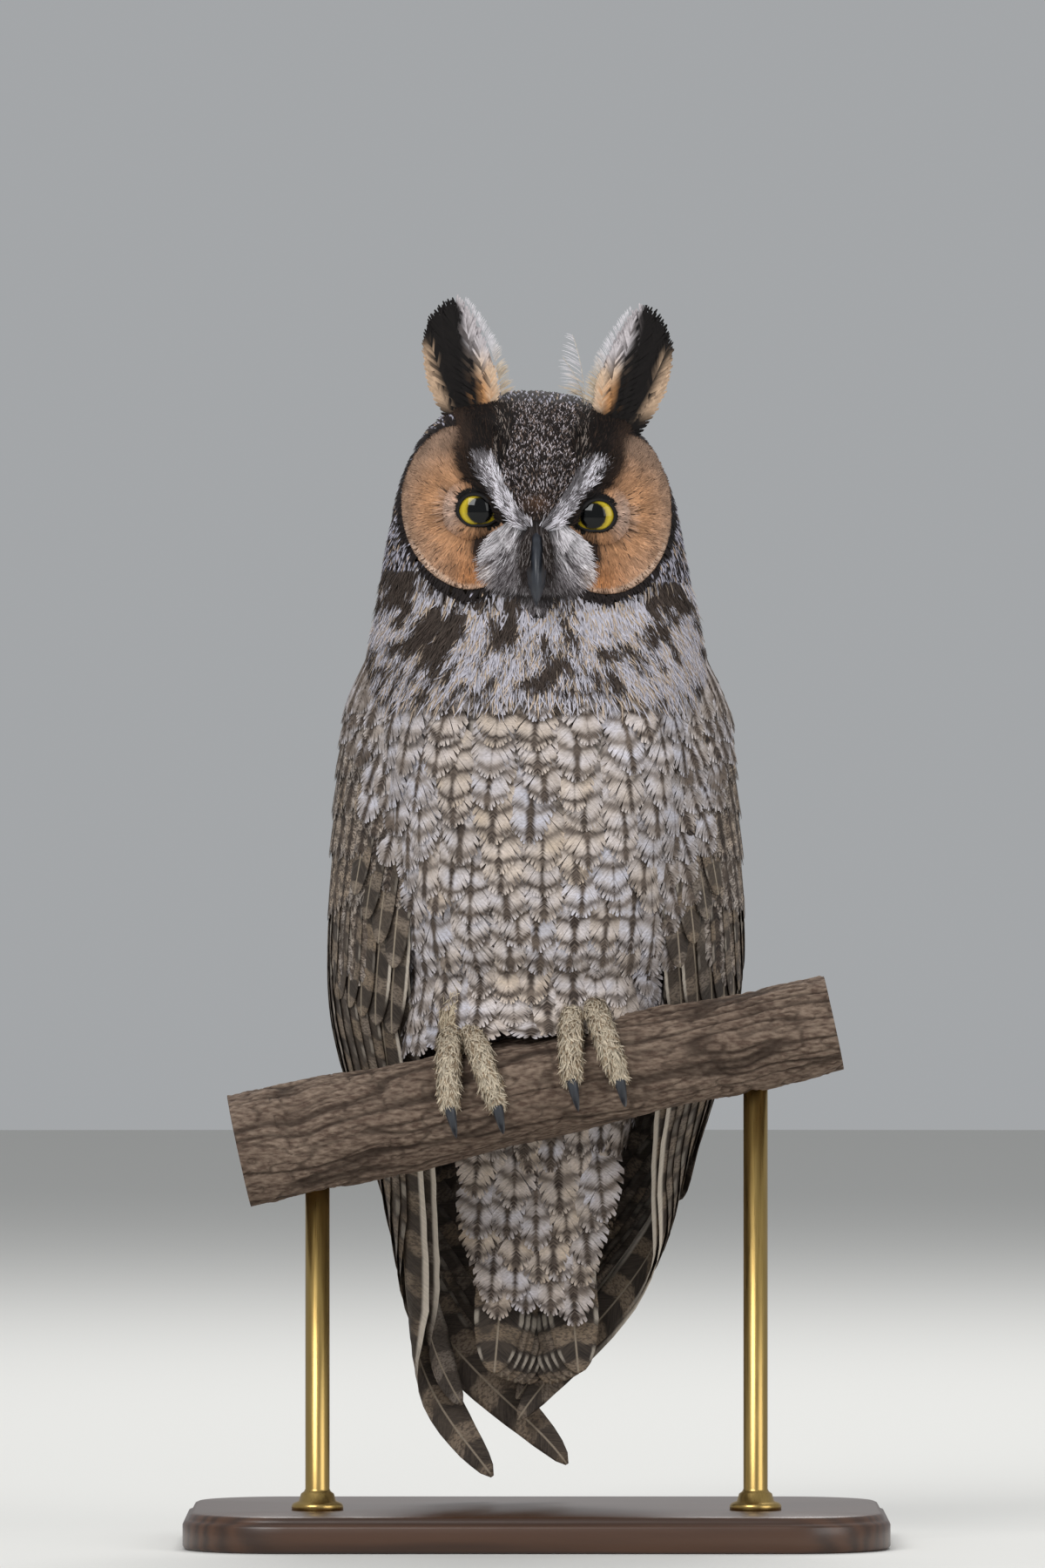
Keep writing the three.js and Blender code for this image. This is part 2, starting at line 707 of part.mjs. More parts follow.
// The other tiers: how many vanes, root and tip heights of the first and the last, the angles their roots
// run between, how far their tips lie further back, their half width and their lifts.
const narrow = { broad: false, stations: longStations };
const soft = { broad: false, stations: shortStations };
const wingTiers = {
  secondaries: {
    ...narrow,
    count: 7, roots: [204, 214], tips: [116, 138], angles: [4, 58], back: 15,
    halfWidth: 12, lifts: [-3.5, 0.6],
  },
  tertials: {
    ...narrow,
    count: 3, roots: [226, 232], tips: [146, 168], angles: [58, 70], back: 6,
    halfWidth: 11.5, lifts: [-2.6, 1.9],
  },
  primaryCoverts: {
    ...soft,
    count: 2, roots: [226, 232], tips: [176, 184], angles: [-36, -20], back: 7,
    halfWidth: 8, lifts: [-3, 0.3],
  },
  greaterCoverts: {
    ...soft,
    count: 6, roots: [236, 240], tips: [188, 186], angles: [-24, 60], back: 5,
    halfWidth: 10.4, lifts: [-3, 1.4],
  },
  alula: {
    ...soft,
    count: 2, roots: [244, 250], tips: [196, 210], angles: [-39, -31], back: 4,
    halfWidth: 7, lifts: [-3, 1.8],
  },
  medianCoverts: {
    ...soft,
    count: 5, roots: [264, 266], tips: [221, 219], angles: [-18, 62], back: 4,
    halfWidth: 11, lifts: [-3, 1.8],
  },
  lowerScapulars: {
    ...soft,
    count: 3, roots: [256, 262], tips: [214, 204], angles: [54, 78], back: 3,
    halfWidth: 11, lifts: [-3, 3],
  },
  upperScapulars: {
    ...soft,
    count: 3, roots: [280, 282], tips: [240, 232], angles: [48, 72], back: 5,
    halfWidth: 10, lifts: [-3, 3.2],
  },
};

// Stations of a flight feather at the shared heights, with one more close to its tip.
function flightStations(rootHeight, tipHeight) {
  const share = (height) => (rootHeight - height) / (rootHeight - tipHeight);
  const shared = flightHeights.map(share).filter((t) => t > 0.12 && t < 0.86);
  return [0, ...shared, 0.92];
}

function primaries(name) {
  const wing = wings[name];
  const tips = primaryTips[name];
  const angles = evenAngles(wing, ...primary.angles, primary.rootZ, tips.length);
  return tips.map(([x, height], k) => {
    const tipAngle = THREE.MathUtils.radToDeg(Math.acos(clamp(x / wing.at(height)[0], -1, 1)));
    const crossing = k === 0 ? 0 : wing.crossing;
    const layer = primaryLift.layer * k;
    return wingVane(wing, {
      root: [angles[k], primary.rootZ],
      tip: [tipAngle, height],
      late: primary.late,
      lifts: [primaryLift.root + layer, primaryLift.tip + layer + crossing],
      halfWidth: primary.halfWidth,
      tilt: primary.tilt,
      broad: true,
      stations: flightStations(primary.rootZ, height),
    });
  });
}

function tier(wing, { count, roots, tips, angles, back, ...rest }) {
  const rootAngles = evenAngles(wing, angles[0], angles[1], roots[0], count);
  return rootAngles.map((angle, k) => {
    const share = k / (count - 1);
    const root = [angle, lerp(...roots, share)];
    const tip = [angle + back, lerp(...tips, share)];
    return wingVane(wing, { root, tip, late: 1.3, ...rest });
  });
}

function makeWings() {
  for (const name of Object.keys(sides)) {
    const wing = wings[name];
    const vanes = Object.values(wingTiers).flatMap((each) => tier(wing, each));
    const made = fuse([wingCore(wing), ...primaries(name), ...vanes], torsoCuts());
    addNode(`wing_${name}`, made, looks.mottled);
  }
}

// Tail

const tail = { pairs: 5, rootZ: 124, tipZ: 51, halfWidth: 8.8, bottom: 101, layer: 0.95 };
const tailKind = { broad: false, stations: [0, 0.5, 0.82, 0.93] };

function tailVane(root, bow, tip, facing, side, halfWidth, tilt, kind) {
  const curve = new THREE.QuadraticBezierCurve3(root, bow, tip);
  const leading = new Vector3(side, 0, 0);
  const options = { normalAt: () => facing, leading, tilt, round: 400 };
  return vane({ curve, halfWidth, ...kind, ...options });
}

function makeTail() {
  const back = new Vector3(0, 1, 0);
  const pieces = [bodySlice(tail.bottom, torsoBottom - gap / 2, 6, 22)];
  for (const side of Object.values(sides)) {
    for (let k = 0; k < tail.pairs; k++) {
      const layer = 2 * k + (side > 0 ? 0 : 1); // the middle pair lies furthest back
      const root = new Vector3(side * (1.5 + 1.6 * k), 32 - tail.layer * layer, tail.rootZ);
      const tipZ = tail.tipZ + 0.25 * k * k;
      const tip = new Vector3(side * (2.4 + 2.9 * k), 33 - tail.layer * layer, tipZ);
      const bow = root.clone().lerp(tip, 0.5);
      pieces.push(tailVane(root, bow, tip, back, side, tail.halfWidth, 0, tailKind));
    }
    for (let k = 0; k < 3; k++) {
      const x = side * (2.2 + 6.4 * k);
      const nudge = side > 0 ? 0 : 0.9;
      const root = new Vector3(x * 0.8, 13 + k, 136);
      const bow = new Vector3(x * 1.1, 9.5 + 2.4 * k + nudge, 112);
      const tip = new Vector3(x * 0.9, 18 + 1.2 * k + nudge, 77 + 7 * k);
      const ahead = new Vector3(side * 0.1 * k, -1, 0).normalize();
      pieces.push(tailVane(root, bow, tip, ahead, side, 7.5, -0.1, soft));
      const top = new Vector3(x * 0.8, 37 - 1.2 * k + nudge, 134);
      const end = new Vector3(x, 37.5 - 1.2 * k + nudge, 96 + 4 * k);
      pieces.push(tailVane(top, top.clone().lerp(end, 0.5), end, back, side, 7.5, 0, soft));
    }
  }
  addNode("tail", fuse(pieces), looks.barred);
}

// Legs, feet and claws

const foot = {
  x: 20,
  topRise: 5.5,
  padRadius: 7.2,
  toeStart: 8, // degrees round the perch from its top
  toeRoot: 4.4,
  toeEnd: 3.3,
  clawRadius: 2,
  clawLength: 12.5,
  clawArch: 1.9,
};

// Each toe: which way it goes round the perch (1 forward, -1 back), where along the perch it starts and
// ends, and how far round it reaches, in degrees.
const toes = [
  { way: 1, start: -3, end: -8.5, reach: 88 },
  { way: 1, start: 3, end: 6.5, reach: 96 },
  { way: -1, start: -3, end: -7, reach: 78 },
  { way: -1, start: 3, end: 8, reach: 84 },
];

function roundPerch(x, turn, way, rise) {
  const radius = perchRadius(x) + rise;
  return perchAt(x)
    .addScaledVector(perchUp, radius * Math.cos(turn))
    .add(new Vector3(0, -way * radius * Math.sin(turn), 0));
}

function toe(x, { way, start, end, reach }) {
  const count = 5;
  const radii = Array.from({ length: count }, (_, i) => {
    const knuckle = i % 2 === 1 ? 0.35 : 0;
    return lerp(foot.toeRoot, foot.toeEnd, i / (count - 1)) + knuckle;
  });
  const centres = radii.map((radius, i) => {
    const t = i / (count - 1);
    const turn = degToRad(lerp(foot.toeStart, reach, t));
    return roundPerch(x + lerp(start, end, t), turn, way, radius + gap + 0.4);
  });
  return tube(centres, radii, 6);
}

function claw(x, { way, end, reach }) {
  const count = 5;
  const start = degToRad(reach) + (gap + 0.25) / (perchRadius(x) + foot.toeEnd);
  const span = foot.clawLength / (perchRadius(x) + 3);
  const centres = [];
  const radii = [];
  for (let i = 0; i < count; i++) {
    const t = i / count;
    const radius = lerp(foot.clawRadius, 0.5, t);
    const arch = foot.clawArch * Math.sin(Math.PI * t);
    const above = radius + 1.6 * (1 - t) + arch + gap + 0.5;
    centres.push(roundPerch(x + end, start + span * t, way, above));
    radii.push(radius);
  }
  const tip = roundPerch(x + end, start + span, way, gap + 0.9);
  return tube(centres, radii, 7, tip);
}

function makeLegs() {
  const perchCut = perchSolid(gap);
  for (const [name, side] of Object.entries(sides)) {
    const x = side * foot.x;
    const ankle = roundPerch(x, 0, 1, foot.topRise);
    const rise = (high) => ankle.clone().add(new Vector3(-side * 0.15 * high, 0.55 * high, high));
    const legPath = [rise(-6), rise(0), rise(8), rise(18), rise(26)];
    const column = tube(legPath, [6.4, 7.4, 9.2, 11, 11.5], 12);
    const above = [0, 0, 1];
    const below = [0, 0, -1];
    const leg = fuse([column.trimByPlane(above, ankle.z + gap / 2)], torsoCuts());
    addNode(`leg_${name}`, leg, looks.foot);
    const pad = sphere(foot.padRadius, roundPerch(x, 0, 1, 3), 10, 7);
    const low = column.trimByPlane(below, -(ankle.z - gap / 2));
    const whole = wasm.Manifold.union([pad, low, ...toes.map((each) => toe(x, each))]);
    const cuts = [perchCut, ...torsoCuts()];
    const footSolid = fuse([whole.trimByPlane(below, -(ankle.z - gap / 2))], cuts);
    addNode(`foot_${name}`, footSolid, looks.foot);
    toes.forEach((each, i) => addNode(`claw_${name}_${i + 1}`, claw(x, each), looks.horn));
  }
}

makeStand();
makeHead();
makeBody();
makeWings();
makeTail();
makeLegs();

export default object;
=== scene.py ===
# A long-eared owl on a cut branch, life size. Lengths are in millimetres until a mesh is made.
# The owl faces -Y and its own left side is +X.
import bpy
import numpy as np
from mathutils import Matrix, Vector


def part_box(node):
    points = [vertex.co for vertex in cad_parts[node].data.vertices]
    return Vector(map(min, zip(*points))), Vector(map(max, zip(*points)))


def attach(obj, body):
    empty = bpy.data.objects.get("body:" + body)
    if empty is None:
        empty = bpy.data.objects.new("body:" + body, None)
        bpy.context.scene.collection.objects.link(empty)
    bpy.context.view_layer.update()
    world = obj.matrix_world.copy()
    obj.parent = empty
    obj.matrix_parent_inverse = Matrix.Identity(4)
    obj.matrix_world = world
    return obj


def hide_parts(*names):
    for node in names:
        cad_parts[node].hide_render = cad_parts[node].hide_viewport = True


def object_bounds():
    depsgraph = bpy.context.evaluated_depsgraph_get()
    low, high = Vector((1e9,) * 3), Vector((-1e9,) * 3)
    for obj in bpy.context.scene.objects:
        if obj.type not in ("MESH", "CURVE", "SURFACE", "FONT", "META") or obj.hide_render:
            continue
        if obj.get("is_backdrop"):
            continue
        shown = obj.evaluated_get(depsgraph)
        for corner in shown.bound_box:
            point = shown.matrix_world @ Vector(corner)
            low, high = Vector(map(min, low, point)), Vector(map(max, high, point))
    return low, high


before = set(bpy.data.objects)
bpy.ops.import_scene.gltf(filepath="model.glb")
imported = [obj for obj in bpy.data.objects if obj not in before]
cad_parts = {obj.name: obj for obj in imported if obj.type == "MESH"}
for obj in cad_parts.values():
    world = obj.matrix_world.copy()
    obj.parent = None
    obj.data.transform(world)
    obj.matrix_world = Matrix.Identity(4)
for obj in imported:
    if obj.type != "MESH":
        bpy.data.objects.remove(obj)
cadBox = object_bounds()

rng = np.random.default_rng(41)
sides = {"left": 1, "right": -1}
millimetre = 0.001


# Numbers and vectors

def mix(low, high, share):
    return low + (high - low) * share


# 0 below low, 1 above high, with an S-shaped rise between
def smooth(x, low, high):
    t = np.clip((x - low) / (high - low), 0, 1)
    return t * t * (3 - 2 * t)


# exp(-((x - middle) / width)^2)
def bell(x, middle, width):
    return np.exp(-(((x - middle) / width) ** 2))


def vector(*parts):
    return np.stack(np.broadcast_arrays(*parts), -1).astype(float)


def unit(v):
    return v / np.maximum(np.linalg.norm(v, axis=-1, keepdims=True), 1e-9)


def dot(a, b):
    return (a * b).sum(-1, keepdims=True)


# Direction of v within the plane that has this normal
def inPlane(v, normal):
    return unit(v - normal * dot(v, normal))


# sRGB hex to linear red, green and blue
def linear(hexColour):
    value = np.array([int(hexColour[i : i + 2], 16) for i in (1, 3, 5)]) / 255
    return np.where(value <= 0.04045, value / 12.92, ((value + 0.055) / 1.055) ** 2.4)


# Value noise on a lattice with cells one unit across, from 0 to 1. The second axis repeats after a whole number.
def latticeNoise(x, y, seed, repeat=64):
    table = np.random.default_rng(seed).random((256, repeat))
    i = np.floor(x).astype(int)
    j = np.floor(y).astype(int)
    s = smooth(x - i, 0, 1)
    t = smooth(y - j, 0, 1)
    corner = lambda a, b: table[(i + a) % 256, (j + b) % repeat]
    low = mix(corner(0, 0), corner(1, 0), s)
    high = mix(corner(0, 1), corner(1, 1), s)
    return mix(low, high, t)


# Cubic curves through rows of [place, values...], with slopes from the rows on either side
def profile(rows):
    table = np.array(rows, float)
    place = table[:, 0]
    values = table[:, 1:]
    slope = np.gradient(values, axis=0)
    slope[1:-1] = (values[2:] - values[:-2]) / (place[2:] - place[:-2])[:, None]
    slope[0] = (values[1] - values[0]) / (place[1] - place[0])
    slope[-1] = (values[-1] - values[-2]) / (place[-1] - place[-2])

    def at(x):
        x = np.asarray(x, float)
        i = np.searchsorted(place[1:-1], x)
        span = (place[i + 1] - place[i])[..., None]
        t = np.clip((x - place[i])[..., None] / span, 0, 1)
        rise = (t**3 - 2 * t * t + t) * span * slope[i]
        fall = (t**3 - t * t) * span * slope[i + 1]
        s = t * t * (3 - 2 * t)
        return np.moveaxis(values[i] * (1 - s) + values[i + 1] * s + rise + fall, -1, 0)

    return at


# Shader nodes

# Adds a node with its settings, and links or sets its inputs. Gives one of its outputs.
def node(tree, kind, inputs, out, **settings):
    made = tree.nodes.new("ShaderNode" + kind)
    for name, value in settings.items():
        setattr(made, name, value)
    for slot, value in inputs.items():
        if isinstance(value, bpy.types.NodeSocket):
            tree.links.new(value, made.inputs[slot])
        else:
            made.inputs[slot].default_value = value
    return made.outputs[out]


def colour(hexColour):
    return (*linear(hexColour), 1.0)


# What a step of a pattern is made with: a node's kind, the inputs that the step's values fill in order, the output
# taken and settings. Any other step is an operation of a Math node.
stepKinds = {
    "object": ("TexCoord", (), 3, {}),
    "map": ("UVMap", (), 0, {}),
    "field": ("Attribute", (), 1, {}),
    "fieldColour": ("Attribute", (), 0, {}),
    "x": ("SeparateXYZ", (0,), 0, {}),
    "y": ("SeparateXYZ", (0,), 1, {}),
    "z": ("SeparateXYZ", (0,), 2, {}),
    "combine": ("CombineXYZ", (0, 1, 2), 0, {}),
    "less": ("VectorMath", (0, 1), 0, {"operation": "SUBTRACT"}),
    "along": ("VectorMath", (0, 1), 1, {"operation": "DOT_PRODUCT"}),
    "length": ("VectorMath", (0,), 1, {"operation": "LENGTH"}),
    "scale": ("VectorMath", (0, "Scale"), 0, {"operation": "SCALE"}),
    "stretch": ("Mapping", (0, 3, 2), 0, {}),
    "noise": ("TexNoise", ("Vector", "Scale", "Detail"), 0, {}),
    "rings": ("TexWave", ("Vector", "Scale", "Distortion", "Detail", "Detail Scale"), 1, {"bands_direction": "Y"}),
    "range": ("MapRange", ("Value", "From Min", "From Max", "To Min", "To Max"), 0, {}),
    "smooth": ("MapRange", ("Value", "From Min", "From Max"), 0, {"interpolation_type": "SMOOTHSTEP"}),
    "mix": ("Mix", (0, 6, 7), 2, {"data_type": "RGBA"}),
    "ramp": ("ValToRGB", (0,), 0, {}),
    "bump": ("Bump", ("Height", "Strength", "Distance"), 0, {}),
}


# Makes the nodes of a step: (kind, inputs..., settings). An input is a step, the name of one already made, a hex
# colour, a number or numbers.
def express(tree, made, step):
    if isinstance(step, str):
        return colour(step) if step[0] == "#" else made[step]
    if not isinstance(step, tuple) or not isinstance(step[0], str):
        return step
    kind, slots, out, settings = stepKinds.get(step[0], ("Math", (0, 1, 2), 0, {"operation": step[0]}))
    values = [express(tree, made, value) for value in step[1:] if not isinstance(value, dict)]
    own = step[-1] if isinstance(step[-1], dict) else {}
    return node(tree, kind, dict(zip(slots, values)), out, **settings, **own)


# A material whose shader has these values. The steps of its pattern follow in order, and those that are named for an
# input of the shader feed it.
def newFinish(name, steps, **values):
    material = bpy.data.materials.new(name)
    material.use_nodes = True
    tree = material.node_tree
    shader = tree.nodes["Principled BSDF"]
    for slot, value in values.items():
        shader.inputs[slot.replace("_", " ")].default_value = value
    made = {}
    for stepName, step in steps.items():
        made[stepName] = express(tree, made, step)
        if stepName in shader.inputs:
            tree.links.new(made[stepName], shader.inputs[stepName])
    return material


# Meshes

# A finished piece from points in millimetres and arrays of faces. Fields are values at the points, and maps are
# UV places of the points.
def addPiece(name, points, faces, finish, slot, replaced=(), fields=None, maps=None):
    mesh = bpy.data.meshes.new(name)
    faces = [np.asarray(f).reshape(-1, np.shape(f)[-1]) for f in faces]
    corners = np.concatenate([f.ravel() for f in faces])
    counts = np.concatenate([np.full(len(f), f.shape[1]) for f in faces])
    mesh.vertices.add(len(points))
    mesh.vertices.foreach_set("co", (points * millimetre).astype(np.float32).ravel())
    mesh.loops.add(len(corners))
    mesh.loops.foreach_set("vertex_index", corners.astype(np.int32))
    mesh.polygons.add(len(counts))
    mesh.polygons.foreach_set("loop_start", (np.cumsum(counts) - counts).astype(np.int32))
    mesh.update(calc_edges=True)
    mesh.polygons.foreach_set("use_smooth", np.full(len(counts), True))
    for key, value in (maps or {}).items():
        layer = mesh.uv_layers.new(name=key)
        layer.data.foreach_set("uv", value[corners].astype(np.float32).ravel())
    for key, value in (fields or {}).items():
        layer = mesh.attributes.new(key, "FLOAT_VECTOR", "POINT")
        layer.data.foreach_set("vector", value.astype(np.float32).ravel())
    mesh.validate()
    piece = bpy.data.objects.new(name, mesh)
    bpy.context.scene.collection.objects.link(piece)
    mesh.materials.append(finish)
    if slot:
        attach(piece, "root")
    if replaced:
        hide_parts(*replaced)
    return piece


# A skin in one tint, under feathers
def addPlain(name, points, faces, hexColour, slot, replaced=()):
    tint = np.tile(linear(hexColour), (len(points), 1))
    addPiece(name, points, faces, tintedFinish, slot, replaced, {"tint": tint})


# Faces of a grid of points, rows by columns. The last column joins the first.
def gridFaces(rows, columns):
    i = np.arange(rows - 1)[:, None]
    j = np.arange(columns)[None, :]
    a = i * columns + j
    b = i * columns + (j + 1) % columns
    return np.stack([a, b, b + columns, a + columns], -1).reshape(-1, 4)


# Rings of points closed at both ends by a fan. Ring corners run anticlockwise seen from the end that comes last.
def closedRings(rings, firstPoint=None, lastPoint=None):
    rows, columns = rings.shape[:2]
    first = rings[0].mean(0) if firstPoint is None else firstPoint
    last = rings[-1].mean(0) if lastPoint is None else lastPoint
    points = np.concatenate([rings.reshape(-1, 3), [first, last]])
    j = np.arange(columns)
    k = (j + 1) % columns
    top = (rows - 1) * columns
    fans = [[k, j, 0 * j + rows * columns], [top + j, top + k, 0 * j + rows * columns + 1]]
    return points, [gridFaces(rows, columns), *(np.stack(fan, -1) for fan in fans)]


# The body's outer coat. Rows: height, half width, middle in Y, depth in front, depth behind.
bodyAt = profile([
    [100, 9, 27, 5, 7], [108, 17, 27, 10, 10], [122, 26, 27, 18, 14], [142, 34, 27, 22, 17], [162, 40, 26, 24, 19],
    [174, 43, 20, 27, 25], [181, 44.5, 12, 38, 33], [190, 46, 8, 47, 38], [205, 48.5, 5, 52, 41],
    [225, 51.5, 4, 56, 43], [245, 54.5, 3, 57, 46], [265, 56, 2, 54, 48], [282, 56.5, 2, 49, 47], [296, 55, 2, 44, 44],
    [308, 53, 2, 40, 42], [320, 50.8, 2, 40, 42], [333, 48, 2, 40, 42], [345, 45.5, 2, 38.5, 41],
    [355, 42, 2.5, 36, 38], [364, 37, 3.5, 31.5, 33], [371, 30, 4.5, 25, 27], [376, 21, 5.5, 17.5, 19],
    [379, 10, 6, 8.5, 9], [379.7, 1.5, 6.4, 1.3, 1.4],
])
headRoll = 0.045  # the head is tipped a little to the owl's left
chinHeight = 306.0
disc = {"x": 24.6, "z": 340.5, "halfWidth": 19.4, "halfHeight": 26.5, "lean": 0.1}
relief = {"hollow": 3.2, "rim": 1.8, "bridge": 3.4, "bridgeWidth": 7.0, "brow": 2.6}


# Distance from a facial disc's middle: 1 is its edge
def discRadius(x, z):
    across = (np.abs(x) - disc["x"] - (z - disc["z"]) * disc["lean"]) / disc["halfWidth"]
    return np.hypot(across, (z - disc["z"]) / disc["halfHeight"])


# How far the face stands out: hollow discs, their rims, the bridge between the eyes and the brows
def faceRelief(x, z):
    r = discRadius(x, z)
    a = np.abs(x)
    hollow = -relief["hollow"] * (1 - smooth(r, 0.25, 0.95))
    rim = relief["rim"] * bell(r, 1.08, 0.14)
    height = smooth(z, 312, 322) * (1 - smooth(z, 352, 364))
    bridge = relief["bridge"] * bell(a, 0, relief["bridgeWidth"]) * height
    browReach = smooth(a, 3, 8) * (1 - smooth(a, 22, 29))
    return hollow + rim + bridge + relief["brow"] * bell(z, 330 + (a - 3) * 1.25, 4.5) * browReach


def rollBy(x, z):
    return headRoll * x * smooth(z, chinHeight, chinHeight + 14)


# A point on the coat at an angle (0 the owl's left, -90 degrees its front) and height, grown outward
def bodySurface(angle, height, grow=0.0):
    half, middle, front, behind = bodyAt(height)
    c = np.cos(angle)
    s = np.sin(angle)
    x = (half + grow) * c
    y = middle + (np.where(s < 0, front, behind) + grow) * s
    facing = smooth(-s, 0.12, 0.5) * smooth(height, chinHeight, chinHeight + 5)
    y = y - faceRelief(x, height) * facing
    return vector(x, y, height - rollBy(x, height))


# The same surface, found straight behind a point of the face at x and height
def faceSurface(x, height, grow):
    half = bodyAt(height)[0]
    share = np.clip(x / half, -0.995, 0.995)
    return bodySurface(np.arctan2(-np.sqrt(1 - share**2), share), height, grow)


# Outward normal of a surface of an angle and a height, from small steps along each
def normalOf(surface, angle, height):
    du = surface(angle + 0.01, height) - surface(angle - 0.01, height)
    dv = surface(angle, height + 0.2) - surface(angle, height - 0.2)
    return unit(np.cross(du, dv))


# Moves points near the body onto its coat, with a lift. In front, feathers hang straight below the given height.
def layOnBody(points, lift, hangBelow):
    height = points[..., 2] + rollBy(points[..., 0], points[..., 2])
    level = np.maximum(height, hangBelow)
    half, middle, front, behind = bodyAt(level)
    away = points[..., 1] - middle
    angle = np.arctan2(away / np.where(away < 0, front, behind), points[..., 0] / half)
    laid = bodySurface(angle, level, lift)
    laid[..., 2] += height - level
    overLegs = 4.5 * smooth(level - height, 0, 14) * bell(np.abs(laid[..., 0]), 21, 11)
    laid[..., 1] -= np.where(away < 0, overLegs, 0)
    return laid


# Feathers

# One vector for each feather, repeated over its points
def spread(v, points):
    return v.reshape(len(v), *[1] * (points.ndim - 1), 3)


# Points at p along each feather's way and q across it
def laidOut(root, along, out, p, q):
    return spread(root, p) + spread(along, p) * p[..., None] + spread(np.cross(along, out), p) * q[..., None]


# Feathers made as combs. The outline is part of an oval: u^2 + v^2 = 1, with u = (p - middle) / reach along the
# shaft and v = q / half across it. Each tooth is a group of barbs that leaves the shaft at an angle, narrower
# toward the tip, and runs out to the outline. Teeth join along the vane and part at their narrow ends. Each feather
# has a root, a way it lies, a way it faces, a length, a half width and a lift at root and tip, and bow bends it.
combShape = {"shaft": 0.94, "middle": 0.42, "reach": 0.58, "rootSweep": 1.05, "tipSweep": 0.3, "parting": 0.72}


def comb(root, along, out, length, half, lifts, teeth, cup=22.0, bow=None, lay=None, ruffle=0.3, ragged=0.07):
    count = len(root)
    side = np.array([-1.0, 1.0])[:, None, None, None]
    tooth = np.arange(teeth)[None, :, None, None]
    cross = np.array([0.0, combShape["parting"], 1.0])[None, None, :, None]
    pinch = np.array([1.0, 1.0, 0.5])[None, None, :, None]
    edge = np.array([-0.5, 0.5])[None, None, None, :]
    t = ((tooth + 0.5 + edge * pinch) / teeth)[None]
    random = rng.random((4, count, 2, teeth, 1, 1))
    size = lambda v: np.asarray(v, float).reshape(-1, 1, 1, 1, 1)
    sweep = mix(combShape["rootSweep"], combShape["tipSweep"], t) + (random[0] - 0.5) * 0.06
    start = t * combShape["shaft"] * size(length)
    reach = combShape["reach"] * size(length)
    u = (start - combShape["middle"] * size(length)) / reach
    du, dv = np.cos(sweep) / reach, np.sin(sweep) / size(half)
    barb = (np.sqrt((u * du) ** 2 + (du**2 + dv**2) * (1 - u**2)) - u * du) / (du**2 + dv**2)
    barb = barb * (1 + ragged * (random[1] * 2 - 1) * cross)
    p = start + cross * barb * np.cos(sweep)
    q = side * cross * barb * np.sin(sweep)
    share = p / size(length)
    lift = mix(size(lifts[0]), size(lifts[1]), share) + ruffle * (random[2] - 0.5) * cross
    lift = lift - q * q / (2 * cup)
    points = laidOut(root, along, out, p, q)
    if bow is not None:
        points = points + spread(bow, p) * (2 * share * (1 - share))[..., None]
    points = lay(points, lift) if lay else points + spread(out, p) * lift[..., None]
    shape = p.shape
    corner = np.arange(np.prod(shape)).reshape(shape)
    quads = []
    for k in (0, 1):
        ring = [corner[..., k, 0], corner[..., k + 1, 0], corner[..., k + 1, 1], corner[..., k, 1]]
        quads.append(np.stack([r[:, 1] for r in ring], -1).reshape(-1, 4))
        quads.append(np.stack([r[:, 0] for r in ring[::-1]], -1).reshape(-1, 4))
    full = lambda v: np.broadcast_to(v, shape).ravel()
    return {
        "points": points.reshape(-1, 3),
        "faces": np.concatenate(quads),
        "feather": full(np.arange(count).reshape(-1, 1, 1, 1, 1)),
        "p": full(p),
        "q": full(q),
        "share": full(share),
        "cross": full(cross),
        "tooth": full(random[3]),
        "length": full(size(length)),
        "half": full(size(half)),
    }


# Sides of the patches that feathers have in the OFBake map
patchSize = {"strand": 0.003, "tuft": 0.012, "tail": 0.012, "body": 0.014, "wing": 0.03}


# UV maps of combed feathers: "vane" is millimetres across the shaft and up from the tip, and OFBake puts each
# feather in a patch of its own at its root's place on the unrolled skin.
def combMaps(made, place, patch):
    vane = vector(made["q"], made["length"] - made["p"])
    within = vector(made["q"] / (2.4 * made["half"]), made["share"] - 0.5)
    return {"vane": vane, "OFBake": place[made["feather"]] + np.clip(within, -0.5, 0.5) * patch}


# Place of a root on the unrolled body: once round is 1, and so is the whole height
def unrolled(angle, height):
    return vector((angle / (2 * np.pi) + 0.25) % 1, (height - 90) / 330)


def aroundBody(points):
    return unrolled(np.arctan2(points[:, 1], points[:, 0]), points[:, 2])


# A piece of combed feathers
def addCombed(name, made, finish, slot, fields, place, patch, replaced=()):
    addPiece(name, made["points"], [made["faces"]], finish, slot, replaced, fields, combMaps(made, place, patch))
    print(name, len(place), "feathers,", 2 * len(made["faces"]), "triangles")


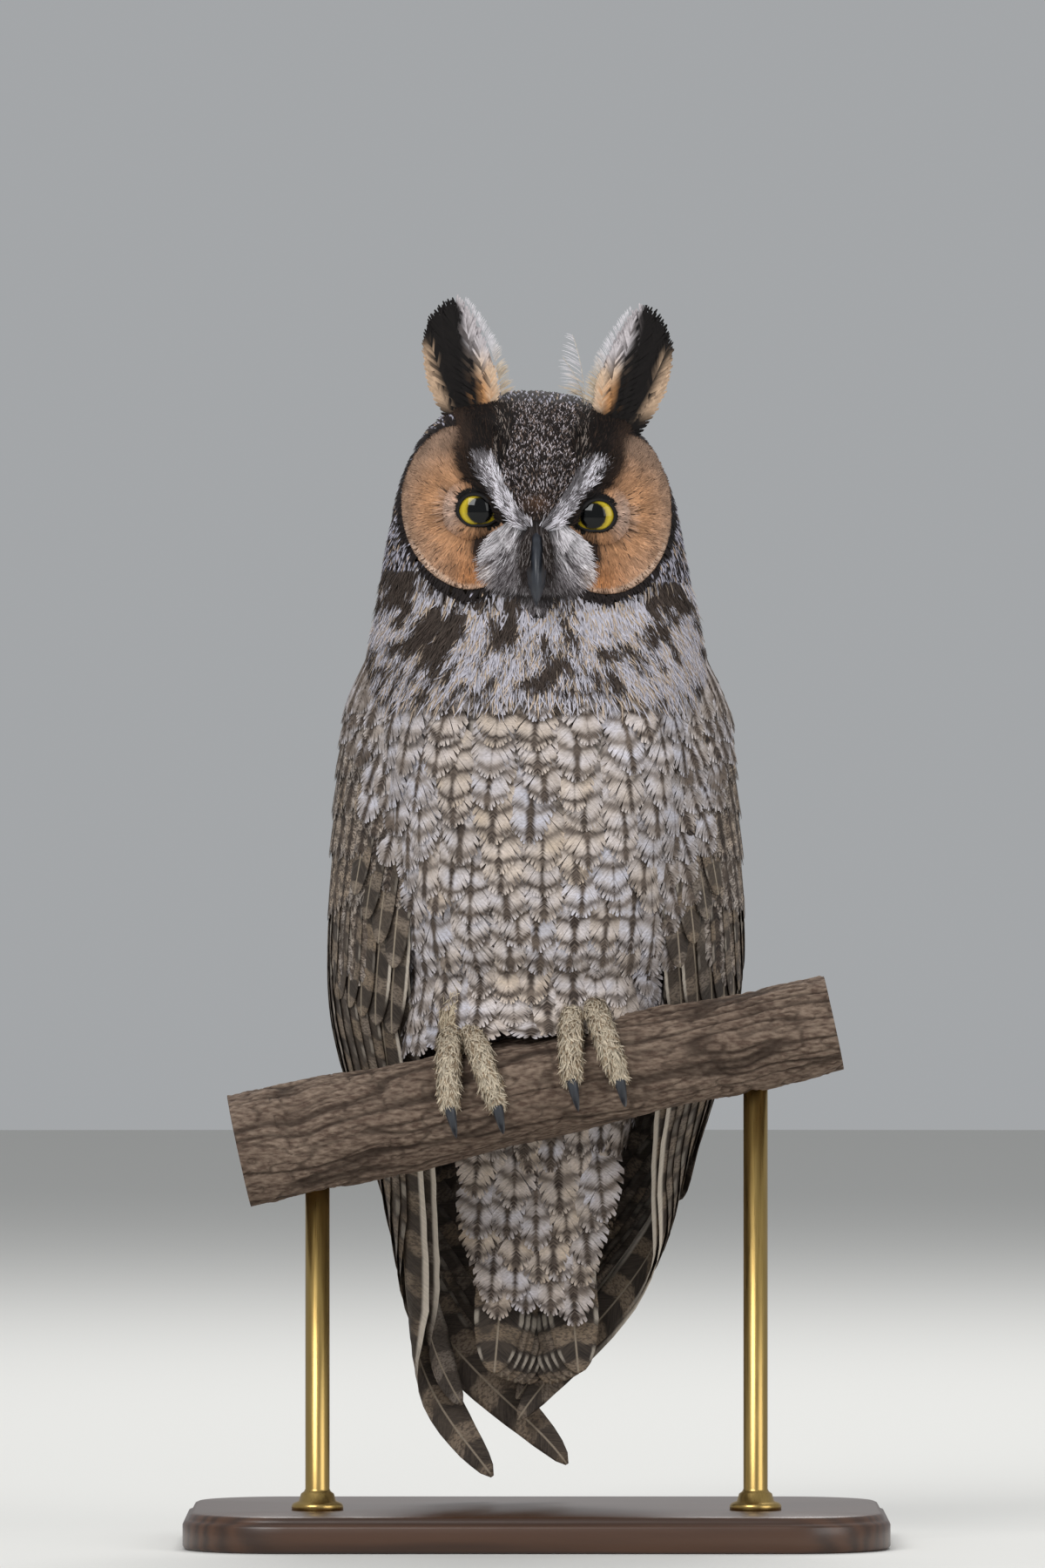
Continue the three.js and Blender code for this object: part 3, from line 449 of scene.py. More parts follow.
# Thin tapering strands of three faces. They rise from the surface by lift, bend sideways and follow its roundness.
def strands(root, along, out, length, width, lift, bend=0.0, roundness=60.0):
    t = np.array([0, 0.35, 0.7, 1.0])[None, :, None]
    edge = np.array([-0.5, 0.5])[None, None, :]
    size = lambda v: np.broadcast_to(np.asarray(v, float).reshape(-1, 1, 1), (len(root), 1, 1))
    p = t * size(length)
    half = size(width) * np.array([0.8, 1.0, 0.65, 0.12])[None, :, None]
    q = size(bend) * size(length) * t**2 + edge * half
    rise = size(lift) * (0.25 + 0.75 * t) - p * p / (2 * size(roundness))
    points = laidOut(root, along, out, p, q) + spread(out, p) * rise[..., None]
    corner = np.arange(len(root) * 8).reshape(len(root), 4, 2)
    quads = [
        np.stack([corner[:, k, 0], corner[:, k, 1], corner[:, k + 1, 1], corner[:, k + 1, 0]], -1) for k in range(3)
    ]
    return {
        "points": points.reshape(-1, 3),
        "faces": np.concatenate(quads),
        "feather": np.repeat(np.arange(len(root)), 8),
        "share": np.broadcast_to(t, (len(root), 4, 2)).ravel(),
    }


# A strand's eight corners inside its own square patch of the OFBake map
strandPatch = vector(np.tile([-0.5, 0.5], 4), np.repeat([-0.5, -0.15, 0.2, 0.5], 2))


# A piece of strands, with the places of their roots in the OFBake map
def addStrands(name, made, slot, place, patch=strandPatch):
    place = np.repeat(place, 8, axis=0) + np.tile(patch, (len(place), 1)) * patchSize["strand"]
    addPiece(
        name, made["points"], [made["faces"]], tintedFinish, slot,
        fields={"tint": made["tint"]}, maps={"OFBake": place},
    )
    print(name, len(place) // 8, "strands,", 2 * len(made["faces"]), "triangles")


# Some of a set of strands
def picked(made, part):
    corners = np.repeat(part, 8)
    number = np.cumsum(corners) - 1
    faces = number[made["faces"][corners[made["faces"][:, 0]]]]
    return {"points": made["points"][corners], "faces": faces, "tint": made["tint"][corners]}


# Several sets of feathers as one, with faces and feathers numbered on
def joined(parts):
    merged = {key: np.concatenate([part[key] for part in parts]) for key in parts[0]}
    for key, size in (("faces", lambda part: len(part["points"])), ("feather", lambda part: part["feather"][-1] + 1)):
        starts = np.cumsum([0] + [size(part) for part in parts[:-1]])
        merged[key] = np.concatenate([part[key] + start for part, start in zip(parts, starts)])
    return merged


def tints(hexColour, count, spread):
    return linear(hexColour)[None, :] * rng.uniform(1 - spread, 1 + spread, (count, 1))


# Values of each feather: every one between two limits, by one of the feather's random numbers
def drawn(random, *spans):
    return vector(*(mix(low, high, random[k]) for k, low, high in spans))


# Lays a hex colour, or one colour for each point, over others by a share of each
def painted(under, over, share):
    over = linear(over) if isinstance(over, str) else over
    return mix(under, over, np.clip(share, 0, 1)[..., None])


# Colours along strands: each one's own where the share is 1, and darker by rootShade at its root
def alongStrands(made, tip, rootShade, share):
    own = tip[made["feather"]]
    made["tint"] = mix(own * rootShade, own, share[:, None])
    return made


# Finishes

# Keratin vane: matt, with fine lines along its barbs. Marks are drawn in the feather's own millimetres: a dark
# shaft streak, wavy cross bars with dusky edges, blotches and pale notches along its edge, all frayed along the
# barbs. They give the eye the barred and mottled coat.
def vaneFinish(name, look):
    pitch, soft, fray = look["pitch"], look["soft"], look["fray"]
    fall = lambda value, low, high: ("SUBTRACT", 1.0, ("smooth", value, low, high))

    # noise with this many cells to the millimetre along x and y
    def grain(x, y, alongX, alongY, shift=0.0, detail=1.5):
        return "noise", ("combine", ("MULTIPLY", x, alongX), ("MULTIPLY_ADD", y, alongY, shift), "seed"), 1.0, detail

    steps = {
        "vane": ("map", {"uv_map": "vane"}),
        "mark": ("field", {"attribute_name": "mark"}),  # streak's half width, bars' strength, blotching
        "tone": ("field", {"attribute_name": "tone"}),  # random seed, warmth, shade
        "rim": ("field", {"attribute_name": "edge"}),  # from shaft 0 to rim 1, rim's paleness, rim pale all along
        "across": ("x", "vane"),
        "up": ("y", "vane"),
        "seed": ("MULTIPLY", ("x", "tone"), 91.0),
        "barStrength": ("y", "mark"),
        "away": ("ABSOLUTE", "across"),
        "barb": ("MULTIPLY_ADD", "away", 0.85, "up"),
        "wave": grain("across", "up", 0.16, 0.2),
        "fray": grain("barb", "away", 1.7, 0.22, 31.0),
        "line": grain("barb", "away", 3.0, 0.12, 7.0),
        "patchy": grain("across", "up", look["patch"], look["patch"], 55.0),
        "raked": ("MULTIPLY_ADD", "away", -look["rake"], "up"),
        "bent": ("MULTIPLY_ADD", "fray", fray, ("MULTIPLY_ADD", "wave", look["wave"], "raked")),
        "moved": ("ADD", "bent", -look["firstBar"] - 0.5 * (look["wave"] + fray)),
        "turn": ("SUBTRACT", ("FRACT", ("MULTIPLY", "moved", 1 / pitch)), 0.5),
        "fromBar": ("MULTIPLY_ADD", ("ABSOLUTE", "turn"), -pitch, 0.5 * pitch),
        "halfBar": ("MULTIPLY_ADD", "patchy", 0.7 * look["barWidth"], 0.15 * look["barWidth"]),
        "overBar": ("SUBTRACT", "fromBar", "halfBar"),
        "bar": ("MULTIPLY", fall("overBar", -soft, soft), "barStrength"),
        "dusk": ("MULTIPLY", fall("overBar", 0.0, 2.6), look["dusk"]),
        "frayed": ("SUBTRACT", ("MULTIPLY_ADD", "fray", fray, "away"), ("x", "mark")),
        "wider": ("MULTIPLY_ADD", fall("fromBar", 0.0, 3.0), "barStrength", 0.7),
        "ragged": ("SUBTRACT", ("MULTIPLY_ADD", "wave", 1.4, "frayed"), "wider"),
        "streak": fall("ragged", 0.5 * fray - soft, 0.5 * fray + soft),
        "mottle": ("MULTIPLY_ADD", ("z", "mark"), 0.42, ("MULTIPLY_ADD", "fray", 0.3, "patchy")),
        "dark": ("MAXIMUM", ("MAXIMUM", "streak", "bar"), ("smooth", "mottle", 0.8, 1.12)),
        "fleck": ("MULTIPLY", ("smooth", grain("across", "up", 0.8, 1.7, 77.0, 2.0), 0.46, 0.6), look["fleck"]),
        "warm": ("SUBTRACT", ("MULTIPLY_ADD", "patchy", 0.9, ("y", "tone")), 0.45, {"use_clamp": True}),
        "ground": ("mix", "dusk", ("mix", "warm", look["pale"], look["warm"]), look["between"]),
        "flecked": ("mix", "fleck", "ground", look["fleckColour"]),
        "paler": ("smooth", ("MULTIPLY_ADD", "patchy", 0.5, "fray"), 0.5, 1.0),
        "barred": ("mix", "dark", "flecked", ("mix", "paler", look["dark"], look["darkEdge"])),
        "notched": ("MAXIMUM", ("z", "rim"), fall("fromBar", 1.0, 3.5)),
        "atRim": ("MULTIPLY", ("smooth", ("x", "rim"), look["edgeFrom"], look["edgeFrom"] + 0.12), "notched"),
        "marked": ("mix", ("MULTIPLY", "atRim", ("y", "rim")), "barred", look["edge"]),
        "lined": ("MULTIPLY", ("range", "line", 0.3, 0.7, 0.78, 1.08), ("z", "tone")),
        "Normal": ("bump", "line", 0.4, 0.0003),
    }
    if "shaft" in look:
        shaft = fall("away", look["shaftWidth"], look["shaftWidth"] + 0.3)
        steps["marked"] = ("mix", shaft, steps["marked"], look["shaft"])
    steps["Base Color"] = ("scale", "marked", "lined")
    return newFinish(name, steps, Roughness=look["roughness"], Specular_IOR_Level=0.25)


bellyLook = {
    "pale": "#D6D4DE", "warm": "#D9C4AB", "between": "#A3968B", "dark": "#352C28", "darkEdge": "#75685E",
    "fleckColour": "#94877D", "fleck": 0.3, "dusk": 0.55, "pitch": 7.8, "firstBar": 3.0, "barWidth": 2.0,
    "rake": 0.34, "wave": 3.6, "fray": 2.0, "soft": 0.9, "patch": 0.11, "roughness": 0.85, "edge": "#DEDCE2",
    "edgeFrom": 0.8,
}
backLook = {
    "pale": "#BDB2A9", "warm": "#B79F84", "between": "#7D7166", "dark": "#2D2623", "darkEdge": "#5A4E45",
    "fleckColour": "#4A3F38", "fleck": 0.85, "dusk": 0.5, "pitch": 5.2, "firstBar": 2.2, "barWidth": 1.3,
    "rake": 0.1, "wave": 3.0, "fray": 2.2, "soft": 0.8, "patch": 0.18, "roughness": 0.8, "edge": "#D2CCCB",
    "edgeFrom": 0.7,
}
flightLook = {
    "pale": "#857A70", "warm": "#8C7963", "between": "#5E544B", "dark": "#322B27", "darkEdge": "#4B423A",
    "fleckColour": "#4A4039", "fleck": 0.7, "dusk": 0.3, "pitch": 14.0, "firstBar": 8.0, "barWidth": 7.5,
    "rake": -0.3, "wave": 3.0, "fray": 1.6, "soft": 0.5, "patch": 0.12, "roughness": 0.65, "shaftWidth": 0.16,
    "shaft": "#9A8D7C", "edge": "#DACFC0", "edgeFrom": 0.76,
}
bellyFinish = vaneFinish("downy keratin vane, barred", bellyLook)
backFinish = vaneFinish("keratin vane, mottled", backLook)
flightFinish = vaneFinish("stiff keratin vane, banded", flightLook)
# Bristles and small feathers whose colour is laid down along each one: matt keratin with a fine uneven grain
tintedFinish = newFinish(
    "keratin bristle, tinted",
    {
        "tint": ("fieldColour", {"attribute_name": "tint"}),
        "grain": ("noise", ("object",), 900.0, 2.0),
        "Base Color": ("scale", "tint", ("range", "grain", 0.3, 0.7, 0.85, 1.12)),
    },
    Roughness=0.75, Specular_IOR_Level=0.2,
)
print("finishes made")


# Face

eye = {"radius": 9.6, "x": 19.3, "y": -26.4, "z": 339.4, "gaze": -0.1, "cover": 10.25}
# Half opening of the lids and width of their bare rims in degrees, by the turn from outward (0) over the top (90)
# to the beak (180)
lidTurns = [0, 45, 90, 135, 180, 205, 240, 270, 315, 360]
lidOpen = [39, 35, 28.5, 24.5, 31, 40, 30, 26.5, 33, 39]
lidWide = [6.5, 7, 7.5, 8, 8, 9, 4.5, 3.5, 4.5, 6.5]


def eyeCentre(side):
    x = side * eye["x"]
    return np.array([x, eye["y"], eye["z"] - rollBy(x, eye["z"])])


# Distance from the eye's middle over the reach of the lid's bare rim that way: 1 at its edge
def beyondLid(x, z, side):
    away = fromEye(x, z, side)
    turn = np.degrees(np.arctan2(away[:, 1], side * away[:, 0])) % 360
    reach = np.interp(turn, lidTurns, lidOpen) + np.interp(turn, lidTurns, lidWide)
    return np.hypot(away[:, 0], away[:, 1]) / (eye["cover"] * np.sin(np.radians(reach)))


def fromEye(x, z, side):
    return vector(x - side * eye["x"], z - eye["z"])


# Zones of the face by height: how far from the face's midline the white brow's middle line lies and its half
# width, how far the dark band above the eye reaches, and the grey lore beside the beak
browZone = profile([
    [333, 2.4, 2.2], [336, 4.6, 2.3], [339.5, 7.9, 2.3], [345.5, 12.1, 2.4], [350, 15.4, 3.1], [353, 17.0, 3.2],
    [356, 18.4, 1.6],
])
darkZone = profile([
    [335, 10.5], [338, 13.5], [341, 15.5], [344, 18.5], [347.5, 21.5], [351, 23.4], [355, 24.5], [361.5, 24.6],
    [366, 26.5], [371, 29],
])
loreZone = profile([
    [309, 1.5], [314, 6], [317, 9.5], [320, 13], [322.5, 15], [328, 14], [331, 13.6], [334, 12.4], [336.5, 9],
])
foreheadReach = profile([[336, 3.0], [342, 7.5], [348, 11.0], [354, 11.4], [362, 10.4], [370, 11.5], [376, 14.0]])


# The face's midline leans to the owl's left above the eyes
def midline(z):
    return 0.11 * np.maximum(z - 345, 0)


def fromMidline(x, z):
    return np.abs(x - midline(z))


# Which zone of the face a point is in: brow, dark band, lore and forehead, and the rest is disc
def faceZones(x, z):
    a = fromMidline(x, z)
    brow, half = browZone(z)
    isBrow = (np.abs(a - brow) < half) & (z > 333.5) & (z < 355.5)
    reach = foreheadReach(z)[0]
    isForehead = (a < np.where(z < 361, np.minimum(brow - half, reach), reach)) & (z >= 336)
    isLore = (z < 336.5) & (a < loreZone(z)[0]) & ~isBrow
    isDark = (z > 335) & (a < darkZone(z)[0]) & ~isBrow & ~isForehead & ~isLore
    return isBrow, isDark, isLore, isForehead


# Colour of the face at x and height: tawny discs, paler outward and round the eyes, dark at their rims and beside
# the beak, with white brows, grey lores and black-brown between
def facePaint(x, z):
    a = fromMidline(x, z)
    r = discRadius(a, z)
    paint = painted(linear("#C2916A") + 0 * a[..., None], "#CFA78A", smooth(r, 0.35, 0.9))
    eyeAway = np.hypot((a - eye["x"]) / 8.4, (z - eye["z"]) / 6.6)
    layers = [
        ("#B57C50", smooth(334 - z, 0, 12) * (1 - smooth(a, 20, 34))),
        ("#D6C4BC", 0.55 * (1 - smooth(eyeAway, 0.95, 1.5)) * smooth(a, 22, 28)),
        ("#8D7768", 0.7 * smooth(z, 344, 360)),
        ("#2A1C16", 1.8 * bell(a, 18.0, 2.6) * bell(z, 329.5, 4.2)),
        ("#D3C2B2", 0.5 * smooth(r, 0.8, 0.97) * smooth(344 - z, 0, 16)),
        ("#8F7664", 0.6 * smooth(r, 0.4, 0.9) * smooth(z, 320, 338)),
        ("#5B483C", 0.9 * smooth(r, 0.91, 0.97) * smooth(z, 326, 340)),
        ("#3A281E", smooth(darkZone(z)[0] + 4.5 - a, 0, 4.5) * smooth(z, 342, 348) * 0.9),
    ]
    for hexColour, share in layers:
        paint = painted(paint, hexColour, share)
    for hexColour, zone in zip(["#DEDAE2", "#1E1614", "#9A9294", "#4A403D"], faceZones(x, z)):
        paint = np.where(zone[..., None], linear(hexColour), paint)
    return paint


# The face's surface, with the lids' bulge over the eyes
def faceCover(x, z, grow=0.0):
    points = faceSurface(x, z, grow)
    for side in sides.values():
        centre = eyeCentre(side)
        away = (points[..., 0] - centre[0]) ** 2 + (points[..., 2] - centre[2]) ** 2
        bulge = centre[1] - np.sqrt(np.maximum((eye["cover"] + grow) ** 2 - away, 0.01))
        points[..., 1] = np.where(away < eye["cover"] ** 2, np.minimum(points[..., 1], bulge), points[..., 1])
    return points


# Frame of the face's surface at x and height: point, and unit steps sideways, up and outward
def faceFrame(x, z, grow):
    step = 0.15
    right = unit(faceCover(x + step, z) - faceCover(x - step, z))
    up = unit(faceCover(x, z + step) - faceCover(x, z - step))
    out = unit(np.cross(right, up))
    return faceCover(x, z, grow), right, up, out


# Strands on the face. Way gives the direction in the face's plane, and tip the colours at their ends.
def faceStrands(x, z, way, length, width, lift, tip, bend=0.0, tipShare=0.6, rootShade=0.5):
    root, right, up, out = faceFrame(x, z, -0.3)
    along = inPlane(unit(way[:, :1] * right + way[:, 1:] * up), out)
    onLid = np.minimum(*(np.hypot(*fromEye(x, z, side).T) for side in sides.values())) < 9.0
    made = strands(root, along, out, length, width, lift, bend, roundness=np.where(onLid, 13.0, 40.0))
    return alongStrands(made, tip, rootShade, smooth(made["share"], 0.0, tipShare))


# Places on one side of the face's midline
def scatter(count, xRange, zRange, side):
    z = rng.uniform(*zRange, count)
    return side * rng.uniform(*xRange, count) + midline(z), z


def turned(way, spread):
    angle = rng.normal(0, spread, len(way))
    c, s = np.cos(angle), np.sin(angle)
    return vector(c * way[:, 0] - s * way[:, 1], s * way[:, 0] + c * way[:, 1])


# Body tracts: the heights that their rows run between and their pitch, how many columns go once round, how far every
# second row is moved on, the middle angle and the span to each side of it in degrees, then each feather's length, half
# width, teeth, lifts, and the height below which it hangs straight down
tractKeys = ("rows", "columns", "shift", "middle", "span", "length", "half", "teeth", "lifts", "hang", "finish", "slot")
belly, back = (bellyFinish, "barred_feathers"), (backFinish, "mottled_feathers")
tracts = {
    "belly_feathers": ((300, 180, 9.3), 25, 0.12, -90, 88, 30, 9.0, 13, (-3.6, 0.6), 187, *belly),
    "breast_feathers": ((316, 299, 4.5), 34, 0.5, -90, 96, 18, 7.0, 11, (-2.8, 1.0), 0, *belly),
    "vent_feathers": ((172, 106, 9.0), 18, 0.5, -90, 100, 27, 8.5, 12, (-3.2, 0.6), 0, *belly),
    "nape_feathers": ((326, 306, 5.0), 40, 0.5, 90, 92, 16, 6.2, 10, (-3.0, 0.3), 0, *back),
    "mantle_feathers": ((309, 112, 8.5), 30, 0.5, 90, 84, 24, 8.6, 12, (-3.4, 0.7), 0, *back),
}
tracts = {name: dict(zip(tractKeys, row)) for name, row in tracts.items()}
# Dark (above 0) and pale (below 0) patches of the breast: distance to the owl's left, height, reach and strength. The
# broad dark ones on the owl's right, at -31 and -43, are partly dark feathers and partly painted shade on that side.
breastPatchesAndShade = [
    [-31, 296, 8, 0.75], [45, 309, 6, 0.25], [-12, 299.5, 5, 0.6], [2, 286, 5, 0.5], [12.6, 294, 5, 0.5],
    [34, 292, 4, 0.3], [-43, 306, 9, 0.5], [-19, 299.5, 3.5, -0.6], [6, 292, 4, -0.6], [26, 302, 9, -0.7],
    [0, 303, 6, -0.3], [36, 281, 8, -0.4],
]

# Skin

# The skin lies under the coat by its depth: deeper on the body, shallow on the head. It carries the coat's marks:
# pale with dark columns and bars in front, dark and mottled behind, tawny on the discs.
skin = {"turns": 240, "rows": 280, "bodyDepth": 4.2, "headDepth": 2.0, "low": 103.0, "high": 378.4}


def skinTint(angle, height):
    pale, dark = linear("#A39A92"), linear("#3B322D")
    column = np.abs((angle / (2 * np.pi) * tracts["belly_feathers"]["columns"] * 2) % 1 - 0.5)
    bars = np.abs((height / bellyLook["pitch"]) % 1 - 0.5)
    marks = np.maximum(smooth(column, 0.36, 0.46), 0.8 * smooth(bars, 0.36, 0.44))
    front = smooth(-np.sin(angle), -0.05, 0.3) * (1 - smooth(height, 296, 312))
    mottle = latticeNoise(height / 6, angle / (2 * np.pi) * 48, 21, 48)
    behind = mix(dark, linear("#6E6056"), smooth(mottle, 0.35, 0.7)[..., None])
    tint = mix(behind, mix(pale, dark, marks[..., None]), front[..., None])
    x = bodySurface(angle, height)[..., 0]
    onDisc = discRadius(fromMidline(x, height), height) < 0.97
    onFace = (np.sin(angle) < -0.12) & (onDisc | np.stack(faceZones(x, height)).any(0)) & (height < 377)
    return np.where(onFace[..., None], facePaint(x, height) * 0.5, tint)


def makeSkin():
    angle = np.linspace(-np.pi, np.pi, skin["turns"], endpoint=False)[None, :]
    height = np.linspace(skin["low"], skin["high"], skin["rows"])[:, None]
    angle, height = np.broadcast_arrays(angle, height)
    depth = mix(skin["bodyDepth"], skin["headDepth"], smooth(height, 300, 322))
    rings = bodySurface(angle, height) - normalOf(bodySurface, angle, height) * depth[..., None]
    top = rings[-1].mean(0) + [0, 0, 0.4]
    points, faces = closedRings(rings, lastPoint=top)
    tint = skinTint(angle, height).reshape(-1, 3)
    tint = np.concatenate([tint, tint[:1], tint[-1:]])
    addPiece(
        "owl_skin", points, faces, tintedFinish, "barred_feathers",
        replaced=("head", "facial_disc_left", "facial_disc_right", "neck", "torso"), fields={"tint": tint},
    )


makeSkin()
print("skin made")


# Body feathers

# Rows of roots from one height to another, every second row moved on by a share of a column
def staggered(tract, wander):
    angles, heights = [], []
    pitch = tract["rows"][2]
    step = 2 * np.pi / tract["columns"]
    for k, height in enumerate(np.arange(*tract["rows"][:2], -pitch)):
        count = int(np.radians(tract["span"]) / step)
        row = np.radians(tract["middle"]) + (np.arange(-count, count + 1) + tract["shift"] * (k % 2)) * step
        angles.append(row + rng.normal(0, wander * step, len(row)))
        heights.append(height + rng.normal(0, wander * pitch, len(row)))
    return np.concatenate(angles), np.concatenate(heights)


# Marks and tones of body feathers by where their ends lie: streak half width, bar strength and blotching, then a
# random seed, warmth and shade
def bodyMarks(angle, height, behind):
    random = rng.random((5, len(angle)))
    if behind:
        mark = drawn(random, (0, 0.4, 1.6), (1, 0.3, 0.9), (2, 0.3, 0.9))
        return mark, drawn(random, (3, 0, 1), (4, 0.1, 0.9), (3, 0.8, 1.2))
    outward = smooth(np.abs(bodySurface(angle, height)[:, 0]), 28, 48)
    high = smooth(height, 278, 286)
    streak = mix(mix(0.5, 1.3, random[0]) * (random[2] > 0.12), mix(-0.6, 0.2, random[0]), high)
    bar = mix(1.0, 0.12, np.maximum(high, 0.75 * outward)) * mix(0.6, 1.0, random[1])
    shade = mix(1.0, 0.9, outward) * mix(0.9, 1.05, random[3]) * mix(1.0, 0.92, high)
    warmth = mix(0.0, 0.8, random[4]) * (1 - 0.7 * outward) * (1 - 0.5 * high)
    return vector(streak, bar, mix(0.0, 0.75, random[2]) * outward), vector(random[3], warmth, shade)


# Blotching of the breast at points of it: patches and streaks along its feathers over a few millimetres, with its
# larger patches, of which the broad dark ones on the owl's right are partly painted shade
def breastBlotchAndShade(x, z):
    patches = latticeNoise(x / 4.2 + 100, z / 3.6 + 0.05 * np.abs(x), 61)
    streaks = latticeNoise((x + 0.5 * np.clip(x / 12, -1, 1) * (z - 300)) / 2.3 + 100, z / 8.5 + 20, 62)
    darkening = mix(-0.5, 1.86, 0.5 * (patches + streaks))
    for across, height, reach, strength in breastPatchesAndShade:
        darkening = darkening + strength * bell(x, across, reach) * bell(z, height, 0.8 * reach)
    return darkening * smooth(z, 266, 279)


# Colour fields of combed feathers: values of each feather at its points, with the edge from shaft 0 to rim 1
def combFields(made, mark, tone, pale, whole=0.0):
    feather = made["feather"]
    each = lambda v: np.broadcast_to(v, len(mark))[feather]
    edge = vector(made["cross"], each(pale), each(whole))
    return {"mark": mark[feather], "tone": tone[feather], "edge": edge}


def makeTract(name, tract):
    angle, height = staggered(tract, 0.14)
    x = bodySurface(angle, height)[:, 0]
    clear = (discRadius(np.abs(x), height) > 1.1) & (np.abs(x) > loreZone(np.maximum(height, 309))[0] + 1.0)
    clear = clear | (height < 308) | (np.sin(angle) > -0.1)
    angle, height = angle[clear], height[clear]
    root = bodySurface(angle, height)
    out = normalOf(bodySurface, angle, height)
    high = smooth(height, 280, 305)
    splay = mix(0.12, 0.42, high) * np.sign(root[:, 0]) * smooth(np.abs(root[:, 0]), 8, 40)
    fan = vector(splay + rng.normal(0, 0.05, len(root)), 0.0, -1.0)
    along = inPlane(fan, out)
    across = np.cross(along, out)
    out = unit(np.cross(across, along))
    scale = rng.uniform(0.93, 1.07, len(root))
    narrow = np.clip(bodyAt(height)[0] / 50, 0.45, 1)
    hang = tract["hang"]
    made = comb(
        root, along, out, tract["length"] * scale, tract["half"] * scale * narrow, tract["lifts"], tract["teeth"],
        lay=lambda points, lift: layOnBody(points, lift, hang),
    )
    behind = tract["middle"] > 0
    mark, tone = bodyMarks(angle, height - 0.85 * tract["length"], behind)
    fields = combFields(made, mark, tone, 0.1 if behind else 0.0)
    if not behind:
        # The breast's blotches and the painted shade on its right side darken the feathers' marks
        darkening = breastBlotchAndShade(made["points"][:, 0], made["points"][:, 2])
        fields["mark"][:, 2] = np.maximum(fields["mark"][:, 2], darkening)
    addCombed(name, made, tract["finish"], tract["slot"], fields, unrolled(angle, height), patchSize["body"])


# Loose barbs over the breast and the sides of the neck, which soften its blotches
breastDown = {"count": 21000, "low": 275.0, "high": 319.0, "length": 6.5, "width": 0.5, "lift": 1.5}


def makeBreastDown():
    n = breastDown["count"]
    angle = np.radians(rng.uniform(-168, -12, n))
    height = rng.uniform(breastDown["low"], breastDown["high"], n)
    x = bodySurface(angle, height)[:, 0]
    r = discRadius(np.abs(x), height)
    keep = (r > 1.14) & ((height < 305) | (np.abs(x) > loreZone(np.maximum(height, 309))[0] + 1.0))
    keep &= rng.random(n) < smooth(height, breastDown["low"], breastDown["low"] + 17)
    angle, height = angle[keep], height[keep]
    n = len(angle)
    root = bodySurface(angle, height, 0.2)
    out = normalOf(bodySurface, angle, height)
    splay = 0.5 * np.sign(root[:, 0]) * smooth(np.abs(root[:, 0]), 6, 40)
    along = inPlane(vector(splay + rng.normal(0, 0.22, n), rng.normal(0, 0.1, n), -1.0), out)
    length = breastDown["length"] * rng.uniform(0.6, 1.2, n)
    lift = breastDown["lift"] * rng.uniform(0.5, 1.3, n)
    made = strands(root, along, out, length, breastDown["width"], lift, rng.normal(0, 0.15, n))
    end = root + along * length[:, None]
    # The barbs' ends darken with the breast's blotches and with the painted shade on its right side
    darkening = breastBlotchAndShade(end[:, 0], end[:, 2]) + rng.normal(0, 0.17, n)
    pale = painted(tints("#C9C6D0", n, 0.12), tints("#C4B09C", n, 0.12), rng.random(n) < 0.3)
    tip = painted(pale, tints("#453B35", n, 0.3), smooth(darkening, 0.58, 0.92))
    addStrands("breast_barbs", alongStrands(made, tip, 0.75, made["share"]), "barred_feathers", unrolled(angle, height))


for tractName, tractValues in tracts.items():
    makeTract(tractName, tractValues)
makeBreastDown()


# Head

discStrands = {"tries": 46000, "length": 6.0, "width": 0.4, "lift": 0.9}
# Bristles of the face's zones: how many are tried and where across and up, how far from the middle of the eye they
# start, counted in the reach of the lid's rim, how much their way wanders, their width and how far they rise
bristleKeys = ("zone", "tries", "across", "height", "beyond", "wander", "width", "lift")
bristles = {
    "brow": (0, 17000, (0, 27), (333, 361), 0.97, 0.16, 0.34, (1.0, 2.0)),
    "dark": (1, 22000, (4, 33), (335, 373), 0.98, 0.2, 0.4, (0.7, 1.8)),
    "lore": (2, 15000, (0, 20), (309, 337), 1.0, 0.13, 0.36, (0.9, 2.6)),
    "forehead": (3, 14500, (0, 17), (335, 375), 0.0, 0.3, 0.48, (0.4, 1.1)),
}
bristles = {name: dict(zip(bristleKeys, row)) for name, row in bristles.items()}
# Bristles over one side of the beak's base and over the edge of one lid: how many, and their width
smallBristles = {"beak": 1100, "lid": 560, "width": 0.34}


# Tawny strands that radiate from the eye over one disc, in clumps a little lighter or darker
def discParts(side):
    x, z = scatter(discStrands["tries"], (4, 46), (312, 369), side)
    r = discRadius(fromMidline(x, z), z)
    away = fromEye(x, z, side)
    keep = (r < 0.965) & (beyondLid(x, z, side) > 1.0) & ~np.stack(faceZones(x, z)).any(0)
    x, z, r, away = x[keep], z[keep], r[keep], away[keep]
    n = len(x)
    way = unit(away)
    way[:, 1] -= 0.1
    way = turned(unit(way), 0.15)
    turn = np.arctan2(away[:, 1], away[:, 0]) / (2 * np.pi) % 1
    clump = latticeNoise(np.hypot(*away.T) / 2.6 + 10, turn * 70, 51 + side, 70)
    tip = facePaint(x, z) * mix(0.6, 1.22, clump)[:, None] * rng.uniform(0.78, 1.2, (n, 1))
    dark = rng.random(n) < 0.05 + 0.4 * smooth(r, 0.88, 0.965)
    tip[dark] = tints("#5A4334", dark.sum(), 0.3)
    length = discStrands["length"] * rng.uniform(0.7, 1.15, n)
    length = np.minimum(length, (0.985 - r) * 24 + 1.2) * mix(0.55, 1.0, smooth(beyondLid(x, z, side), 1.0, 1.4))
    lift = discStrands["lift"] * rng.uniform(0.5, 1.4, n)
    return faceStrands(x, z, way, length, discStrands["width"], lift, tip, rng.normal(0, 0.1, n), rootShade=0.6)


